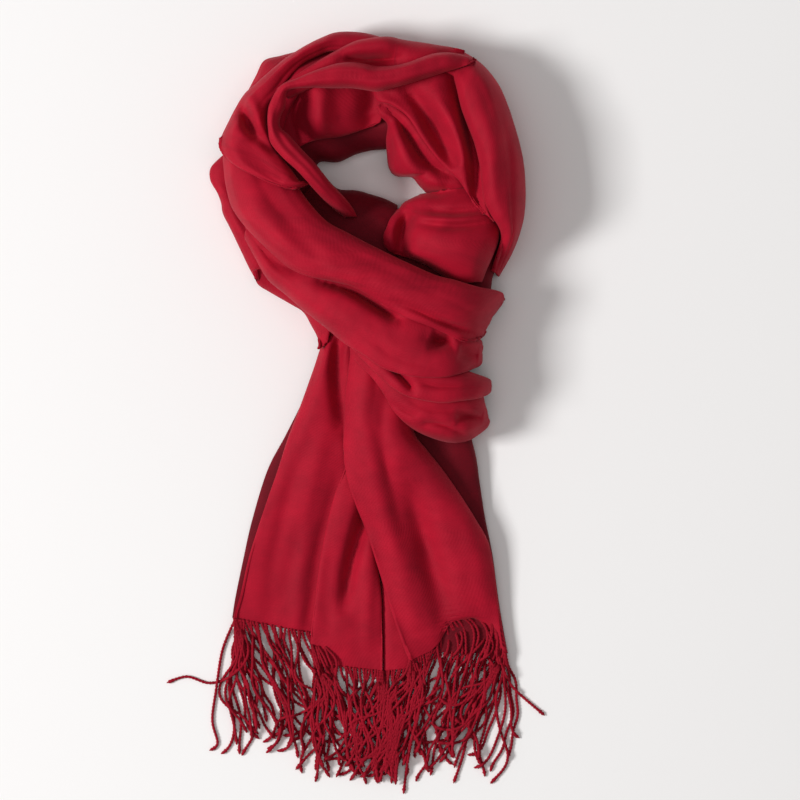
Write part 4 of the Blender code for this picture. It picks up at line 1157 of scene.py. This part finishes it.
add_stretch("top_band", """
xl   yl    zl tl xr  yr  zr top lean
-60  251   48 1  -53 246 46 60  0.5
-45  261.5 50 1  -40 252 46 62  0.4
-24  275   50 1  -20 260 44 63  0.3
-3   286.5 44 1  0   262 42 62  0.3
10   290   36 3  10  262 42 60  0.3
24   291.5 26 4  24  263 42 59  0.3
38   289.5 24 5  38  265 42 57  0.35
50   288   24 5  50  268 42 55  0.4
62   286   24 5  62  273 38 50  0.45
74   284   23 4  72  276 30 40  0.5
84.5 281.2 25 2  83  278 30 35  0.5
""", folds="""
15 4.5  -10 276  12 275  34 276
3 4  -48 255  -28 266  -6 272
2 4  24 284  44 284  62 282
""", soft=(3, 0.7), rests_on="shoulder_band")

add_stretch("roll_band", """
xl    yl    zl tl xr    yr    zr tr top
93    274.3 40 1  92    272.8 40 1  43
89    276.8 45 1  87    270.6 46 1  54
83    279   46 1  81    268.5 48 1  59
72    280.5 49 2  71    265.5 51 2  67
61    279.5 50 2  60    262   54 2  71
50    276   52 2  50    259   56 3  74
41    272.5 54 2  41    256   58 3  76
30    270   54 2  30    253   58 3  77
16.5  269.5 54 2  17    250   58 3  78
6     271.5 54 2  5     251.5 58 3  79
-3    272.5 54 2  -3    252.5 58 3  79
-13   271.5 54 2  -14   252.5 58 3  79
-24   268.5 54 2  -24   252.5 58 3  78
-35   264.5 54 2  -36   252.5 58 3  76
-45   260   54 2  -46   252   56 2  73
-55.5 256   52 2  -52.5 250   56 1  71
-61.5 250   52 2  -54   245   56 1  71
-66.5 240   52 2  -54.5 238   58 2  73
-68   231   52 2  -58   230   58 2  75
-67.5 220   52 2  -58   222.5 58 2  76
-65.5 210   52 2  -51   216   58 2  76
-56.5 199   54 2  -42.5 206.5 58 2  76
-44.5 188   54 2  -31.5 195   56 3  75
-31   173   50 2  -19.5 180   50 3  70
-20   162   40 2  -8    168   42 2  57
-14   157   32 2  -2    160   34 2  46
-8.5  153   26 1  1     154   27 1  36
""", folds="""
2.5 3  64 271  40 264  14 261  -20 262  -46 256
2.5 3  -60 244  -62 226  -54 208  -36 190  -18 170
""", soft=(3, 0.6), rests_on="top_band")

# %% [markdown]
# ## The fringe
#
# The fringe is the scarf's own warp: bundles of threads are twisted two and two, so each
# strand is a two-ply cord about 2.6 mm thick and 95 mm long. They tangle and curl. Each
# strand gets a route in plan that leaves the hem squarely and then wanders; the height
# map lays it over the strands before it. The cord itself is one profile with two lobes,
# turned steadily along the route, which is how two twisted plies look.

# %% Strand routes
STRAND_RADIUS = 1.3         # mm, over both plies
STRAND_STEP = 1.15          # mm between two places along a strand
ROOT_PLACES = 11            # places near the hem where the strands are still one row
ROOT_SLOPE = 0.35           # how steeply a strand may come down from its hem
HIGHEST_PILE = 7.5          # mm, no strand rests on more than this
UNDER_OFFSETS = (-1.1, 0.0, 1.1)    # mm to the side where the map is felt for
OVER_OFFSETS = (-0.9, 0.0, 0.9)     # mm to the side where the strand raises the map
WAVES = ((0.8, 0.30), (1.7, 0.26), (3.2, 0.13))     # waves in a strand, their size in radians
DRIFT_SPREAD = 0.15         # radians that strands differ in their drift
CURLED = 0.3                # share of the strands whose end curls away
CURL = (0.6, 1.9)           # radians, from the least curl to the most
ANY_TURN = 6.3              # radians, all round and a little more


def wandering_route(root, heading, length, lean, rng):
    """A route in plan: the heading turns from the hem's own to a lazy drift, a sum of
    three sine waves of the distance, and the place adds up unit steps of it."""
    count = int(length / STRAND_STEP)
    s = np.linspace(0.0, 1.0, count)
    drift = rng.normal(lean, DRIFT_SPREAD)
    angle = -0.5 * math.pi + drift + (heading + 0.5 * math.pi) * np.exp(-s * 6)
    for wave, spread in WAVES:
        size = rng.normal(0, spread)
        phase = rng.uniform(0, ANY_TURN)
        angle += size * np.sin(math.tau * wave * s + phase) * np.minimum(5 * s, 1)
    if rng.random() < CURLED:
        side = rng.choice([-1, 1])
        curl = rng.uniform(*CURL)
        angle += side * curl * np.clip((s - 0.55) / 0.45, 0, 1) ** 2
    x = root[0] + np.cumsum(np.cos(angle)) * STRAND_STEP
    y = root[1] + np.cumsum(np.sin(angle)) * STRAND_STEP
    return np.column_stack([x, y])


def stray_route(places):
    """The route of one stray: even steps along a curve through its places."""
    way = through(places, 200)
    reached = np.concatenate([[0], np.cumsum(np.linalg.norm(np.diff(way, axis=0), axis=1))])
    wanted = np.arange(0, reached[-1], STRAND_STEP)
    return np.column_stack([np.interp(wanted, reached, way[:, axis]) for axis in (0, 1)])


def laid_strand(route, root_height):
    """Heights along a route: the map's height under the strand plus its radius, held up
    near the root by the hem and smoothed along the way; the map is raised to it."""
    side = np.gradient(route, axis=0)
    side = np.column_stack([-side[:, 1], side[:, 0]])
    side /= np.maximum(np.linalg.norm(side, axis=1), 1e-6)[:, None]
    below = np.zeros(len(route))
    for offset in UNDER_OFFSETS:
        place = route + side * offset
        below = np.maximum(below, map_top[map_cells(place[:, 0], place[:, 1])])
    below[:ROOT_PLACES] = 0
    z = np.minimum(below, HIGHEST_PILE) + STRAND_RADIUS
    z = np.maximum(z, root_height - ROOT_SLOPE * np.arange(len(z)) * STRAND_STEP)
    for _ in range(5):
        z = np.maximum(z, np.convolve(np.pad(z, 1, mode="edge"), [0.25, 0.5, 0.25], "valid"))
    z[0] = root_height
    free = slice(ROOT_PLACES, None)
    for offset in OVER_OFFSETS:
        place = route[free] + side[free] * offset
        rise = math.sqrt(STRAND_RADIUS ** 2 - offset ** 2)
        lay_points(np.column_stack([place, z[free] + rise]))
    return np.column_stack([route, z])


# %% One strand
STRAND_SIDES = 8
PLY_PITCH = 5.5             # mm of strand for a full turn of the twist
TIP_KNOT = (0.35, 4.0, 1.8)     # the knot's swelling, its place from the tip, its reach, mm


def strand_tube(path, turn):
    """The two-lobed profile, radius 0.80 + 0.24 cos 2a, carried along a path and twisted
    once each PLY_PITCH; it swells into a small frayed knot and closes at the tip."""
    way = np.gradient(path, axis=0)
    way /= np.linalg.norm(way, axis=1)[:, None]
    side = np.cross(way, (0.0, 0.0, 1.0))
    side /= np.maximum(np.linalg.norm(side, axis=1), 1e-6)[:, None]
    lift = np.cross(side, way)
    reached = np.arange(len(path)) * STRAND_STEP
    angle = math.tau * np.arange(STRAND_SIDES) / STRAND_SIDES
    twist = math.tau * reached[:, None] / PLY_PITCH + turn
    lobes = 0.80 + 0.24 * np.cos(2 * (angle[None, :] - twist))
    left = reached[-1] - reached
    size = STRAND_RADIUS * (
        1 + TIP_KNOT[0] * np.exp(-((left - TIP_KNOT[1]) / TIP_KNOT[2]) ** 2))
    size = size * np.clip(left / 2.0, 0.06, 1) ** 0.5
    radius = size[:, None] * lobes
    ring = (np.cos(angle)[None, :, None] * side[:, None]
            + np.sin(angle)[None, :, None] * lift[:, None])
    return path[:, None] + radius[:, :, None] * ring


# %% Yarn
# two-ply yarn of the same acrylic: darker and more matt, as light sinks in between plies
twill_yarn = brushed_twill("two_ply_acrylic_yarn", "#A50A25", "#82061B", 0.8)
print("yarn:", twill_yarn.name, 2 * STRAND_RADIUS, "mm thick")

# %% Strands of one fringe
HEM_PLACES = 400            # places along a hem where a strand may start
ROOT_INSET = 2.0            # mm that a strand starts inside its hem


def hem_routes(cloth, first, last, count, lengths, lean, rng):
    """Routes that start just inside one cloth's last row, at even places along it."""
    row = through(stretches[cloth][-1], HEM_PLACES)
    inside = through(stretches[cloth][-4], HEM_PLACES)
    routes = []
    for share in np.linspace(first, last, count) + rng.uniform(-0.4, 0.4, count) / count:
        index = int(np.clip(share, 0, 1) * (HEM_PLACES - 1))
        out = row[index] - inside[index]
        heading = math.atan2(out[1], out[0])
        root = row[index] - ROOT_INSET * out / np.linalg.norm(out)
        route = wandering_route(root[:2], heading, rng.uniform(*lengths), lean, rng)
        routes.append((route, row[index][2] + WALL / 2))
    return routes


def add_fringe(node, hems, lengths, lean, seed, strays):
    """All strands of one fringe as one mesh, laid in a mixed order, the strays last."""
    rng = np.random.default_rng(seed)
    routes = []
    for cloth, first, last, count in hems:
        routes += hem_routes(cloth, first, last, count, lengths, lean, rng)
    rng.shuffle(routes)
    hem_height = stretches[hems[-1][0]][-1, :, 2].mean() + WALL / 2
    routes += [(stray_route(places), hem_height) for places in strays]
    points, faces, uv, start = [], [], [], 0
    for route, height in routes:
        tube = strand_tube(laid_strand(route, height), rng.uniform(0, ANY_TURN))
        index = np.arange(tube.shape[0] * STRAND_SIDES).reshape(-1, STRAND_SIDES) + start
        beside = np.roll(index, -1, axis=1)
        quads = np.stack([index[:-1], beside[:-1], beside[1:], index[1:]], axis=-1)
        faces += quads.reshape(-1, 4).tolist() + [index[0].tolist()[::-1], index[-1].tolist()]
        points.append(tube.reshape(-1, 3))
        lengthwise, round_it = np.meshgrid(np.arange(len(tube)) * STRAND_STEP,
                                           np.arange(STRAND_SIDES) * 1.0, indexing="ij")
        uv.append(np.column_stack([lengthwise.ravel(), round_it.ravel()]))
        start += index.size
    piece = add_mesh(node + "_strands", np.concatenate(points), faces, np.concatenate(uv))
    hand_over(piece, node, twill_yarn)
    print(node, len(routes), "strands,", len(faces), "faces")


# %% Fringes
# For each fringe: its hems (cloth, share of the hem from and to, strands), the shortest
# and longest strand in mm, the lean of the whole bunch, a seed, and the strays' routes.
HEMS = {
    "fringe_left": ([("tail_front_left", 0.02, 0.86, 46)], (88, 114), 0.3, 5, [
        [(-90, -160), (-84, -186), (-97, -203), (-114, -209), (-132, -204), (-148, -209)],
        [(-94, -159), (-104, -183), (-109, -214), (-112, -238), (-108, -256), (-115, -262)]]),
    "fringe_middle": ([("tail_middle", 0.04, 1.0, 46), ("tail_narrow", 0.1, 0.95, 16)],
                      (80, 98), 0.0, 8, []),
    "fringe_right": ([("tail_under_right", 0.3, 0.95, 22),
                      ("tail_front_right", 0.03, 0.97, 46)], (86, 112), -0.38, 3, [
        [(110, -178), (112, -190), (118, -205), (126, -216), (148, -235)],
        [(47, -193), (52, -215), (45, -245), (40, -272), (37, -296)]]),
}

for node, hem in HEMS.items():
    add_fringe(node, *hem)
